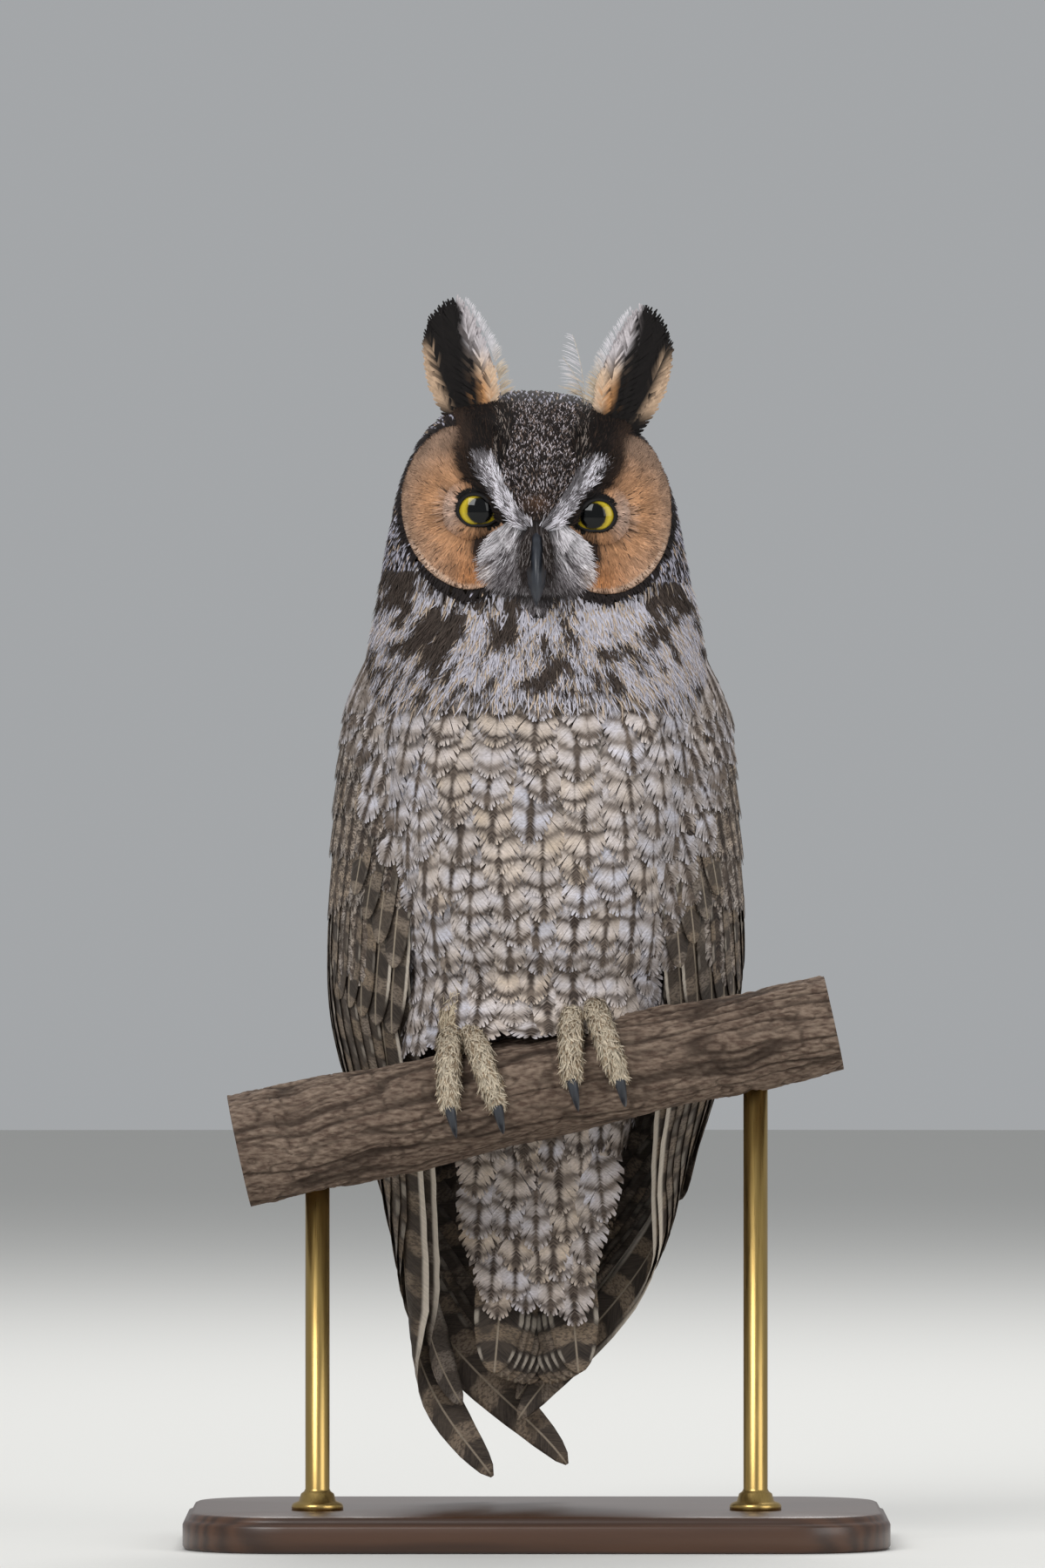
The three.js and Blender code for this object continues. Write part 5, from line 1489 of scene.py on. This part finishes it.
# Flight feathers laid on a wing's face: root and tip angles and heights, lifts, half width, how late they sweep back
# and how much they tilt across
def wingPlates(wing, root, tip, lifts, half, late, tilt):
    root, tip, lifts = (np.asarray(v, float) for v in (root, tip, lifts))
    step = 0.02
    column = lambda v: v[:, None, None]
    angleAt = lambda t: mix(column(root[:, 0]), column(tip[:, 0]), np.maximum(t, 0) ** late)
    heightAt = lambda t: mix(column(root[:, 1]), column(tip[:, 1]), t)
    centre = lambda t: wingSurface(wing, angleAt(t), heightAt(t))

    def place(t, q, thick):
        here = centre(t)
        along = unit(centre(t + step) - centre(t - step))
        leading = unit(wingSurface(wing, angleAt(t) - step, heightAt(t)) - here)
        across = unit(leading - along * dot(leading, along))
        beside = here + across * q[..., None]
        lift = mix(column(lifts[:, 0]), column(lifts[:, 1]), t) + tilt * q + thick
        return wingSurface(wing, wingAngle(wing, beside), beside[..., 2], lift)

    return plates(len(root), half, place)


primaryTips = {
    "left": [[8, 56], [-8, 39], [-8, 46], [-3, 55], [3, 68], [8, 82], [11, 96], [14, 110]],
    "right": [[30, 44], [14.6, 20], [-10, 24], [-4, 34], [1, 51], [5, 70], [8, 88], [12, 106]],
}
primarySteps = np.array([0, 1, 2, 2.8, 3.6, 4.4, 5.2, 6, 6.6, 7])  # places of ten primaries among the eight tips
primaryVanes = {"half": 9.0, "late": 2.3, "tilt": 0.1}
stiffVanes = {"late": 1.3, "tilt": 0.16}
covertLifts = (-1.7, 0.9)
scapularLifts = (-1.5, 2.6)
# Tiers of feathers: how many, heights of the first and last root, heights of the first and last tip, first and last
# angle, how far they sweep back, half width, lifts at root and tip, and for soft ones how pale their rims are
tierKeys = ("count", "roots", "tips", "angles", "back", "half", "lifts", "pale")
stiffTiers = {
    "secondaries": (11, (204, 214), (112, 124), (4, 58), 15, 10.5, (-2.0, 0.8)),
    "tertials": (4, (226, 232), (128, 142), (58, 72), 6, 11.5, (-2.6, 1.9)),
    "primaryCoverts": (8, (222, 232), (168, 188), (-49, 2), 6, 6.0, (-2.0, 0.7)),
    "alula": (4, (240, 252), (190, 214), (-50, -34), 3, 5.5, (-2.0, 1.6)),
}
softTiers = {
    "greaterCoverts": (13, (236, 240), (186, 182), (-34, 62), 5, 8.6, covertLifts, 0.15),
    "medianCoverts": (14, (252, 256), (208, 205), (-40, 64), 4, 8.2, covertLifts, 0.15),
    "lesserLow": (15, (263, 265), (226, 224), (-42, 66), 3, 7.6, covertLifts, 0.15),
    "lesserMiddle": (15, (273, 275), (240, 239), (-40, 66), 3, 7.2, covertLifts, 0.15),
    "lesserHigh": (15, (282, 283), (252, 251), (-36, 66), 2, 6.8, covertLifts, 0.15),
    "lesserTop": (15, (290, 290), (263, 262), (-32, 66), 2, 6.6, covertLifts, 0.15),
    "marginLow": (5, (236, 250), (206, 222), (-54, -40), 3, 5.0, covertLifts, 0.15),
    "marginMiddle": (5, (252, 264), (226, 240), (-48, -34), 3, 5.2, covertLifts, 0.15),
    "lowerScapulars": (5, (254, 262), (212, 204), (52, 82), 3, 9.5, scapularLifts, 0.28),
    "middleScapulars": (5, (268, 272), (228, 222), (50, 80), 3, 9.0, scapularLifts, 0.28),
    "upperScapulars": (5, (281, 284), (246, 240), (46, 76), 4, 8.5, scapularLifts, 0.28),
}
# Flank feathers hang over the wing's front edge. flankReach gives their rearmost angle by height, in degrees.
flank = {"pitch": 8.0, "step": 7.0, "length": 25.0, "half": 7.6, "low": 176.0, "high": 296.0, "lifts": (-1.5, 2.0)}
flankReach = {
    "left": profile([[170, -72], [190, -66], [205, -58], [222, -52], [240, -44], [258, -35], [272, -24], [292, -8]]),
    "right": profile([[170, -72], [190, -70], [205, -67], [222, -61], [240, -53], [258, -46], [272, -36], [292, -12]]),
}
# The skin under the wing's feathers by height: angles of its front and back edges, and how far it is sunk
wingCore = profile([
    [150, -20, 84, 9], [165, -24, 84, 9], [185, -30, 84, 8], [202, -38, 84, 5], [228, -42, 84, 2.6],
    [255, -34, 78, 2.4], [290, -14, 66, 2.4],
])
coreDepth = 20.0


def tierEnds(wing, tier):
    angles = evenAngles(wing, *tier["angles"], tier["roots"][0], tier["count"])
    share = np.linspace(0, 1, tier["count"])
    root = vector(angles, mix(*tier["roots"], share))
    return root, vector(angles + np.radians(tier["back"]), mix(*tier["tips"], share))


# Combed feathers on a wing, from their roots' angles and heights
def wingComb(wing, angle, height, root, along, length, half, lifts, cup):
    out = normalOf(lambda u, v: wingSurface(wing, u, v), angle, height) * wing["side"]
    return comb(
        root, along, inPlane(out, along), length, half, lifts, 13, cup=cup,
        lay=lambda points, lift: wingSurface(wing, wingAngle(wing, points), points[..., 2], lift),
    )


# Their roots' places in the OFBake map
def wingPlace(angle, height):
    return vector((angle / np.pi + 0.5) % 1, (height - 180) / 120)


def primaryEnds(name, wing):
    spaced = lambda values: np.interp(primarySteps, np.arange(8), values)
    across, height = (spaced(column) for column in zip(*primaryTips[name]))
    tipAngle = np.arccos(np.clip(across / wing["at"](height)[0], -1, 1))
    crossing = np.where(primarySteps < 0.5, 0.0, wing["crossing"])
    lifts = vector(-1.6 + 0.25 * primarySteps, -6.6 + 1.05 * primarySteps + crossing)
    return vector(spaced(evenAngles(wing, -46, 6, 205, 8)), 205.0), vector(tipAngle, height), lifts


def makeFlank(name, wing):
    heights, angles = [], []
    for k, height in enumerate(np.arange(flank["high"], flank["low"], -flank["pitch"])):
        end = flankReach[name](height)[0]
        row = np.arange(end - flank["step"] * (k % 2) * 0.5, -84, -flank["step"])
        angles.append(np.radians(row))
        heights.append(np.full(len(row), height))
    angle = np.concatenate(angles) + rng.normal(0, 0.02, sum(map(len, angles)))
    height = np.concatenate(heights) + rng.normal(0, 0.8, len(angle))
    root = wingSurface(wing, angle, height)
    along = unit(wingSurface(wing, angle + 0.02, height - 5) - root)
    length = flank["length"] * rng.uniform(0.9, 1.1, len(root))
    made = wingComb(wing, angle, height, root, along, length, flank["half"], flank["lifts"], 26.0)
    random = rng.random((5, len(root)))
    rear = flankReach[name](height)[0]
    rear = smooth(np.degrees(angle), rear - 22, rear)
    mark = drawn(random, (0, 0.7, 1.5), (1, 0.1, 0.4), (2, 0, 0.7))
    mark[:, 2] += 0.2 * rear
    tone = drawn(random, (3, 0, 1), (4, 0.1, 0.5), (1, 0.8, 1.0))
    fields = combFields(made, mark, tone, 0.3)
    addCombed(
        f"flank_feathers_{name}", made, bellyFinish, "barred_feathers", fields, wingPlace(angle, height),
        patchSize["wing"],
    )


def makeFlight(name, wing):
    sheets = [wingPlates(wing, *primaryEnds(name, wing), **primaryVanes)]
    for row in stiffTiers.values():
        tier = dict(zip(tierKeys, row))
        lifts = np.tile(tier["lifts"], (tier["count"], 1))
        sheets.append(wingPlates(wing, *tierEnds(wing, tier), lifts, tier["half"], **stiffVanes))
    made = joined(sheets)
    count = made["feather"][-1] + 1
    random = rng.random((4, count))
    mark = drawn(random, (0, -3, -3), (1, 0.75, 1.0), (2, 0.1, 0.6))
    tone = drawn(random, (0, 0, 1), (3, 0.1, 0.8), (2, 0.8, 1.1))
    number = np.arange(count)
    leading = np.isin(number, [0, 1, 25, 26])  # the first primaries and the coverts over them
    pale = np.where(leading, 1.0, mix(0.1, 0.5, random[0]))
    cell = vector(number % 8 / 8, number // 8 / 8) + 0.06
    inside = vector(made["vane"][:, 0] / 26, made["share"] - 0.5) * 0.11
    fields = combFields(made, mark, tone, pale, leading * 1.0)
    fields["edge"][:, 1] *= 1 - smooth(made["share"], 0.72, 0.88)
    addPiece(
        f"flight_feathers_{name}", made["points"], [made["faces"]], flightFinish, "mottled_feathers",
        (f"wing_{name}",), fields=fields,
        maps={"vane": made["vane"], "OFBake": cell[made["feather"]] + inside},
    )
    print("flight_feathers", name, count, 2 * len(made["faces"]), "triangles")


def makeCoverts(name, wing):
    parts, marks, tones, places, pales = [], [], [], [], []
    for row in softTiers.values():
        tier = dict(zip(tierKeys, row))
        (angle, height), tip = (ends.T for ends in tierEnds(wing, tier))
        root = wingSurface(wing, angle, height)
        reach = wingSurface(wing, *tip) - root
        length = np.linalg.norm(reach, axis=1) * rng.uniform(0.95, 1.05, len(root))
        parts.append(wingComb(wing, angle, height, root, unit(reach), length, tier["half"], tier["lifts"], 34.0))
        random = rng.random((5, len(root)))
        marks.append(drawn(random, (0, 0.5, 1.3), (1, 0.3, 0.8), (2, 0.2, 0.7)))
        tones.append(drawn(random, (3, 0, 1), (4, 0, 0.7), (2, 0.8, 1.15)))
        places.append(wingPlace(angle, height))
        pales.append(np.full(len(root), tier["pale"]))
    made = joined(parts)
    fields = combFields(made, np.concatenate(marks), np.concatenate(tones), np.concatenate(pales))
    addCombed(
        f"wing_coverts_{name}", made, backFinish, "mottled_feathers", fields, np.concatenate(places),
        patchSize["wing"],
    )


# The skin that the wing's feathers lie on: an outer and an inner face, closed at both ends
def makeWingSkin(name, wing):
    level = np.linspace(150, 289, 40)[:, None]
    front, back, sunk = wingCore(level)
    angle = np.radians(mix(front, back, np.linspace(0, 1, 24)[None, :]))
    outer = wingSurface(wing, angle, level, -sunk)
    inner = wingSurface(wing, angle[:, ::-1], level, -coreDepth)
    points, faces = closedRings(np.concatenate([outer, inner], 1)[:, :: wing["side"]])
    addPlain(f"wing_skin_{name}", points, faces, "#4A4038", "mottled_feathers")


for sideName, foldedWing in wings.items():
    for make in (makeFlight, makeCoverts, makeFlank, makeWingSkin):
        make(sideName, foldedWing)
print("wings made")


# Tail

# Each tail feather lies a layer behind the one before it
tail = {"pairs": 6, "rootZ": 124.0, "tipZ": 51.0, "half": 8.8, "layer": 0.79}


def makeTail():
    k = np.repeat(np.linspace(0, 4, tail["pairs"]), 2)
    side = np.tile([1.0, -1.0], tail["pairs"])
    layer = np.arange(2 * tail["pairs"]) * tail["layer"]
    root = vector(side * (1.5 + 1.6 * k), 32 - layer, tail["rootZ"])
    tip = vector(side * (2.4 + 2.9 * k), 33 - layer, tail["tipZ"] + 0.25 * k * k)

    def place(t, q, thick):
        centre = root[:, None, None, :] + (tip - root)[:, None, None, :] * t[..., None]
        along = unit(tip - root)[:, None, None, :]
        across = unit(np.cross(along, np.array([0.0, 1.0, 0.0])))
        bent = centre + across * q[..., None]
        bent[..., 1] += thick - q * q / 800
        return bent

    n = len(root)
    made = plates(n, tail["half"], place, tail["rootZ"] - tail["tipZ"])
    random = rng.random((3, n))
    mark = drawn(random, (0, -3, -3), (0, 1, 1), (1, 0.1, 0.4))
    tone = drawn(random, (0, 0, 1), (2, 0.2, 0.8), (0, 1, 1))
    cell = vector(np.arange(n) % 4 / 4, np.arange(n) // 4 / 4) + 0.125
    inside = vector(made["vane"][:, 0] / 22, made["share"] - 0.5) * 0.22
    addPiece(
        "tail_feathers", made["points"], [made["faces"]], flightFinish, "barred_feathers", ("tail",),
        fields=combFields(made, mark, tone, 0.6), maps={"vane": made["vane"], "OFBake": cell[made["feather"]] + inside},
    )


# The two faces that tail coverts lie on: Y at a distance from the midline and a height
def underTail(x, z, lift):
    y = np.interp(z, [51, 60, 77, 90, 112, 136, 150], [25, 23, 17, 13, 9, 6.5, 5]) + x * x / 70 - lift
    return vector(x, y, z)


def overTail(x, z, lift):
    y = np.interp(z, [51, 96, 120, 134, 150], [33.5, 37.5, 40, 43, 44.5]) - x * x / 90 + lift
    return vector(x, y, z)


tailCoverts = {
    "undertail_coverts": {
        "surface": underTail, "facing": -1.0, "rows": (140, 98, -9.0), "length": 32, "finish": bellyFinish,
        "slot": "barred_feathers",
    },
    "uppertail_coverts": {
        "surface": overTail, "facing": 1.0, "rows": (146, 112, -9.0), "length": 28, "finish": backFinish,
        "slot": "mottled_feathers",
    },
}
covertShape = {"half": 8.0, "lifts": (-2.6, 1.0), "teeth": 11}


def makeTailCoverts(name, kind):
    roots = []
    for k, height in enumerate(np.arange(*kind["rows"])):
        reach = np.interp(height, [98, 120, 146], [9, 15, 19])
        count = 5 if k % 2 else 4
        x = np.linspace(-reach, reach, count) + rng.normal(0, 0.6, count)
        roots.append(vector(x, 0 * x, height + rng.normal(0, 0.8, count)))
    root = np.concatenate(roots)
    surface = kind["surface"]
    root = surface(root[:, 0], root[:, 2], 0.0)
    out = np.tile([0.0, kind["facing"], 0.0], (len(root), 1))
    along = inPlane(vector(0.006 * root[:, 0], 0.0, -1.0), out)
    length = kind["length"] * rng.uniform(0.9, 1.1, len(root))
    made = comb(
        root, along, out, length, **covertShape,
        lay=lambda points, lift: surface(points[..., 0], points[..., 2], lift),
    )
    random = rng.random((5, len(root)))
    mark = drawn(random, (0, 0.5, 1.1), (1, 0.6, 0.9), (2, 0, 0.05))
    tone = drawn(random, (3, 0, 1), (4, 0.2, 0.8), (1, 0.9, 1.05))
    fields = combFields(made, mark, tone, 0.0)
    addCombed(name, made, kind["finish"], kind["slot"], fields, aroundBody(root), patchSize["tail"])


makeTail()
for covertName, covertKind in tailCoverts.items():
    makeTailCoverts(covertName, covertKind)
print("tail made")


# Perch, feet and stand

perch = {"length": 200.0, "y": -25.0, "height": 151.0, "slope": np.radians(12.3), "thick": 18.6, "thin": 15.8}
perchEnd = perch["length"] / 2 * np.cos(perch["slope"])
perchUp = np.array([-np.sin(perch["slope"]), 0, np.cos(perch["slope"])])


def perchRadius(x):
    return mix(perch["thick"], perch["thin"], (x + perchEnd) / (2 * perchEnd))


# A point round the perch: turn 0 is its top, and way 1 turns it forward
def roundPerch(x, turn, way, rise):
    x, turn, rise = np.broadcast_arrays(x, turn, rise)
    radius = (perchRadius(x) + rise)[..., None]
    centre = vector(x, perch["y"], perch["height"] + x * np.tan(perch["slope"]))
    forward = np.array([0.0, -way, 0.0])
    return centre + radius * (perchUp * np.cos(turn)[..., None] + forward * np.sin(turn)[..., None])


# How far the bark stands off a round branch, and how open to the light it is: long ridges, a knot, and flat scaly
# plates parted by furrows that run along it. Furrows are the valleys of |2 n - 1| for a noise n drawn out that way.
def barkRiseAndShade(x, turn):
    ridges = 0.5 * np.sin(turn * 5 + x * 0.05) + 0.4 * np.sin(turn * 3 - x * 0.11)
    knot = 3.2 * bell(x, -62, 8) * np.maximum(0, np.cos(turn - 2.2)) ** 3
    around = turn / (2 * np.pi) % 1
    sway = 1.5 * latticeNoise(x / 11 + 100, around * 6, 5, 6)
    furrow = smooth(np.abs(2 * latticeNoise(x / 34 + 100, around * 30 + 0.5 * sway, 11, 30) - 1), 0.0, 0.3)
    cracks = smooth(np.abs(2 * latticeNoise(x / 7 + 100 + sway, around * 44 + sway, 14, 44) - 1), 0.0, 0.3)
    scales = latticeNoise(x / 6 + 100, around * 24, 12, 24)
    plates = np.floor(scales * 4) / 4
    fine = latticeNoise(x / 1.3 + 100, around * 80, 13, 80)
    grip = 1 - 0.6 * (bell(x, 20, 13) + bell(x, -20, 13))
    rise = 0.8 * furrow * (0.5 + 0.5 * cracks) + 0.45 * plates + 0.35 * (fine - 0.5) - 0.9
    return ridges + knot + grip * rise, mix(0.25, 1.0, furrow) * (0.5 + 0.5 * cracks) * (0.8 + 0.2 * fine)


# Dry bark: grey-brown plates with a fine grain, drawn out along the branch, with painted shade down in its furrows by
# how open each point is to the light
barkFinish = newFinish(
    "branch bark, dry",
    {
        "long": ("stretch", ("object",), (0.35, 1.0, 1.0), (0.0, 0.215, 0.0)),
        "fine": ("noise", "long", 900.0, 5.0),
        "plates": ("mix", ("noise", "long", 110.0, 6.0), "#6B5A4E", "#A3907F"),
        "grained": ("mix", ("range", "fine", 0.35, 0.65), "#5A493F", "plates"),
        # The field named rise holds how open the bark is to the light: it paints shade into the furrows
        "Base Color": ("mix", ("x", ("field", {"attribute_name": "rise"})), "#2A201A", "grained"),
        "Normal": ("bump", "fine", 0.8, 0.0006),
    },
    Roughness=0.92, Specular_IOR_Level=0.2,
)


def makePerch():
    x = np.linspace(-perchEnd, perchEnd, 400)[:, None]
    turn = np.linspace(0, 2 * np.pi, 230, endpoint=False)[None, :]
    rise, high = barkRiseAndShade(x, turn)
    points, faces = closedRings(roundPerch(x, turn, -1, rise))
    # high is how open the bark is to the light, kept in the field named rise for the painted shade of the finish
    high = np.append(high.ravel(), [1.0, 1.0])
    addPiece("perch_branch", points, faces, barkFinish, "bark", ("perch",), fields={"rise": vector(high, high, high)})


foot = {
    "x": 20.0, "toeRoot": 4.4, "toeEnd": 3.3, "clawRadius": 2.0, "clawLength": 12.5, "topRise": 5.5,
    "toeDown": (3000, 4.6, "#D9CBB4"), "legDown": (4200, 7.0, "#D3C3A9"),  # strands, their length and colour
}
# Each toe: which way it lies over the perch, how far aside it starts and ends, and its reach round it in degrees
toes = [
    {"way": 1, "start": -3.0, "end": -8.5, "reach": 88},
    {"way": 1, "start": 3.0, "end": 6.5, "reach": 96},
    {"way": -1, "start": -3.0, "end": -7.0, "reach": 78},
    {"way": -1, "start": 3.0, "end": 8.0, "reach": 84},
]


# Rings of a round tube through centres with a radius at each
def tubeRings(centres, radius, sidesRound):
    tangent = unit(np.gradient(centres, axis=0))
    across = unit(np.cross(np.array([0.0, 0.0, 1.0]), tangent) + np.array([1e-4, 0, 0]))
    up = np.cross(tangent, across)
    turn = np.linspace(0, 2 * np.pi, sidesRound, endpoint=False)
    ring = across[:, None] * np.cos(turn)[None, :, None] + up[:, None] * np.sin(turn)[None, :, None]
    return centres[:, None] + ring * radius[:, None, None]


# Short downy strands over a tube's rings, lying toward its end
def downOver(rings, kind):
    count, length, tintHex = kind
    rows, columns = rings.shape[:2]
    i = rng.integers(1, rows - 1, count)
    j = rng.integers(0, columns, count)
    middle = rings.mean(1)
    root = rings[i, j]
    out = unit(root - middle[i])
    along = inPlane(unit(middle[np.minimum(i + 1, rows - 1)] - middle[i - 1]) + rng.normal(0, 0.3, (count, 3)), out)
    lift = rng.uniform(0.3, 1.5, count)
    length = rng.uniform(0.6, 1.2, count) * length
    made = strands(root - out * 0.3, along, out, length, 0.5, lift, rng.normal(0, 0.2, count), 14.0)
    tip = painted(tints(tintHex, count, 0.14), tints("#8C7459", count, 0.2), 0.8 * (rng.random(count) < 0.25))
    return alongStrands(made, tip, 0.4, smooth(made["share"], 0, 0.9))


# A down strand's eight corners in its patch of the OFBake map
footPatch = np.repeat([[0.0, -0.5], [0.0, -0.17], [0.0, 0.17], [0.0, 0.5]], 2, axis=0)


def makeFoot(name, side):
    x = side * foot["x"]
    t = np.linspace(0, 1, 22)
    down, skinRings = [], []
    for number, toe in enumerate(toes):
        radius = mix(foot["toeRoot"], foot["toeEnd"], t) + 0.35 * np.sin(t * np.pi * 3.5) ** 2
        radius = radius * np.sqrt(1 - 0.75 * np.maximum(0, (t - 0.82) / 0.18) ** 2)
        angle = np.radians(mix(8, toe["reach"], t))
        centres = roundPerch(x + mix(toe["start"], toe["end"], t), angle, toe["way"], radius + 0.5)
        rings = tubeRings(centres, radius - 0.5, 16)
        skinRings.append(rings)
        down.append(downOver(rings, foot["toeDown"]))
        start = np.radians(toe["reach"]) + 0.55 / (perchRadius(x) + foot["toeEnd"])
        span = foot["clawLength"] / (perchRadius(x) + 3)
        s = np.linspace(0, 0.985, 26)
        clawRadius = mix(foot["clawRadius"], 0.12, s**1.15)
        arch = 1.9 * np.sin(np.pi * s)
        centres = roundPerch(x + toe["end"], start + span * s, toe["way"], clawRadius + 1.6 * (1 - s) + arch + 0.8)
        points, faces = closedRings(tubeRings(centres, clawRadius, 16))
        addPiece(f"claw_horn_{name}_{number + 1}", points, faces, hornFinish, "horn", (f"claw_{name}_{number + 1}",))
    ankle = roundPerch(x, 0.0, 1, foot["topRise"])
    rise = np.linspace(-5, 26, 24)
    centres = ankle + vector(-side * 0.15 * rise, 0.55 * rise, rise)
    legRadius = np.interp(rise, [-6, 0, 8, 18, 26], [6.4, 7.2, 8.8, 10.4, 11.0]) - 0.8
    legRings = tubeRings(centres[::-1], legRadius[::-1], 24)
    down.append(downOver(legRings, foot["legDown"]))
    made = joined(down)
    root = made["points"][::8]
    place = vector((root[:, 0] - x) / 60 + 0.5, (root[:, 2] - 140) / 80)
    addStrands(f"foot_down_{name}", made, "foot_feathers", place, footPatch)
    allPoints, allFaces, start = [], [], 0
    for rings in [*skinRings, legRings]:
        points, faces = closedRings(rings)
        allPoints.append(points)
        allFaces += [f + start for f in faces]
        start += len(points)
    replaced = (f"foot_{name}", f"leg_{name}")
    addPlain(f"foot_skin_{name}", np.concatenate(allPoints), allFaces, "#8C7860", "foot_feathers", replaced)


makePerch()
for sideName, sideSign in sides.items():
    makeFoot(sideName, sideSign)
print("perch and feet made")

base = {"length": 232.0, "width": 150.0, "corner": 34.0, "cornerPoints": 14}
# Rows of the base's edge profile: how far in from the outline, and height
baseEdge = [
    [60, 0.0], [3.0, 0.0], [0.8, 0.2], [0.0, 1.2], [0.0, 8.2], [0.5, 9.2], [1.6, 9.6], [2.0, 10.4], [2.6, 11.5],
    [3.8, 12.0], [60, 12.0],
]


# A rectangle with round corners, as points in order round it
def roundedOutline(halfLength, halfWidth, corner):
    centres = np.array([[1, 1], [-1, 1], [-1, -1], [1, -1]]) * [halfLength - corner, halfWidth - corner]
    turn = np.linspace(0, np.pi / 2, base["cornerPoints"])
    corners = [
        centre + corner * vector(np.cos(turn + k * np.pi / 2), np.sin(turn + k * np.pi / 2))
        for k, centre in enumerate(centres)
    ]
    return np.concatenate(corners)


# Walnut, planed, oiled and waxed: dark grain along the base under a thin soft gloss
woodFinish = newFinish(
    "walnut, oiled and waxed",
    {
        "long": ("stretch", ("object",), (0.08, 1.0, 1.0)),
        "grain": ("mix", ("rings", "long", 60.0, 6.0, 3.0, 1.2), "#2E1D13", "#5A3B27"),
        "Base Color": ("mix", ("noise", "long", 40.0, 3.0), "grain", "#402819"),
        "Normal": ("bump", ("noise", "long", 1500.0, 2.0), 0.15, 0.0002),
    },
    Roughness=0.38, IOR=1.5, Coat_Weight=0.3, Coat_Roughness=0.3,
)
# Brass rod, drawn and lacquered: fine lines along it in a warm yellow metal
brassFinish = newFinish(
    "brass, drawn and lacquered",
    {
        "lines": ("noise", ("stretch", ("object",), (1.0, 1.0, 0.03)), 2500.0, 2.0),
        "Base Color": ("mix", "lines", "#A88B52", "#C4A768"),
        "Roughness": ("range", "lines", 0.0, 1.0, 0.22, 0.4),
    },
    Metallic=1.0,
)
# Edge of a rod from its foot to the perch: height and radius. Its last row is at the rod's own top.
post = {
    "x": 72.0, "turns": 40,
    "rows": [[6, 4], [12.0, 4], [12.0, 8.5], [13.6, 8.5], [14.4, 7.9], [15.0, 6.2], [17.5, 5.4], [18.2, 4.4], [19, 4]],
}


def makeStand():
    rings = []
    for inset, height in baseEdge:
        half = (base["length"] / 2 - inset, base["width"] / 2 - inset)
        outline = roundedOutline(*half, max(base["corner"] - inset, 2.0))
        rings.append(vector(outline[:, 0], outline[:, 1], height))
    points, faces = closedRings(np.stack(rings))
    addPiece("stand_plate", points, faces, woodFinish, "base_wood", ("stand_base",))
    turn = np.linspace(0, 2 * np.pi, post["turns"], endpoint=False)
    for name, side in sides.items():
        x = side * post["x"]
        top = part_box(f"stand_rod_{name}")[1][2] / millimetre
        rows = [*post["rows"], [top, 4]]
        rings = np.stack([vector(x + r * np.cos(turn), perch["y"] + r * np.sin(turn), z) for z, r in rows])
        points, faces = closedRings(rings)
        addPiece(f"stand_post_{name}", points, faces, brassFinish, "rod_metal", (f"stand_rod_{name}",))


makeStand()
print("stand made")


# Floor, light and camera

floorFinish = newFinish("matt paper floor", {}, Base_Color=colour("#D9D8D4"), Roughness=0.95)
lamps = {
    "key": {"place": (-1.3, -2.4, 2.3), "size": 1.6, "power": 62.0},
    "fill": {"place": (2.2, -1.8, 1.2), "size": 1.8, "power": 26.0},
    "top": {"place": (0.2, 1.6, 2.2), "size": 1.4, "power": 38.0},
}
lampAim = np.array([0, 0, 0.22])
view = {"place": (-0.0046, -5.02, 0.2506), "lens": 349.0, "sensor": 36.0, "far": 60.0}


def makeStudio():
    turn = np.linspace(0, 2 * np.pi, 96, endpoint=False)
    rings = np.stack([vector(r * np.cos(turn), r * np.sin(turn), 0.0) for r in (6000.0, 1.0)])
    inner = (np.arange(len(turn)) + len(turn))[None, :]
    floor = addPiece("floor", rings.reshape(-1, 3), [gridFaces(2, len(turn)), inner], floorFinish, None)
    floor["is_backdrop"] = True
    world = bpy.data.worlds.new("studio")
    bpy.context.scene.world = world
    world.use_nodes = True
    sky = world.node_tree.nodes["Background"].inputs
    sky["Color"].default_value = colour("#D6D9DC")
    sky["Strength"].default_value = 0.55
    for name, lamp in lamps.items():
        light = bpy.data.lights.new(name, "AREA")
        light.size = lamp["size"]
        light.energy = lamp["power"]
        holder = bpy.data.objects.new(name, light)
        holder.location = lamp["place"]
        aim = lampAim - np.array(lamp["place"])
        holder.rotation_euler = Vector(aim).to_track_quat("-Z", "Y").to_euler()
        bpy.context.scene.collection.objects.link(holder)
    bpy.context.scene.view_settings.view_transform = "Standard"
    camera = bpy.data.cameras.new("camera")
    camera.sensor_fit = "VERTICAL"
    camera.sensor_height = view["sensor"]
    camera.lens = view["lens"]
    camera.clip_end = view["far"]
    holder = bpy.data.objects.new("camera", camera)
    holder.location = view["place"]
    holder.rotation_euler = (np.pi / 2, 0, 0)
    bpy.context.scene.collection.objects.link(holder)
    bpy.context.scene.camera = holder


makeStudio()
print("studio made")

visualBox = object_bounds()
{"cad": [list(corner) for corner in cadBox], "visual": [list(corner) for corner in visualBox]}
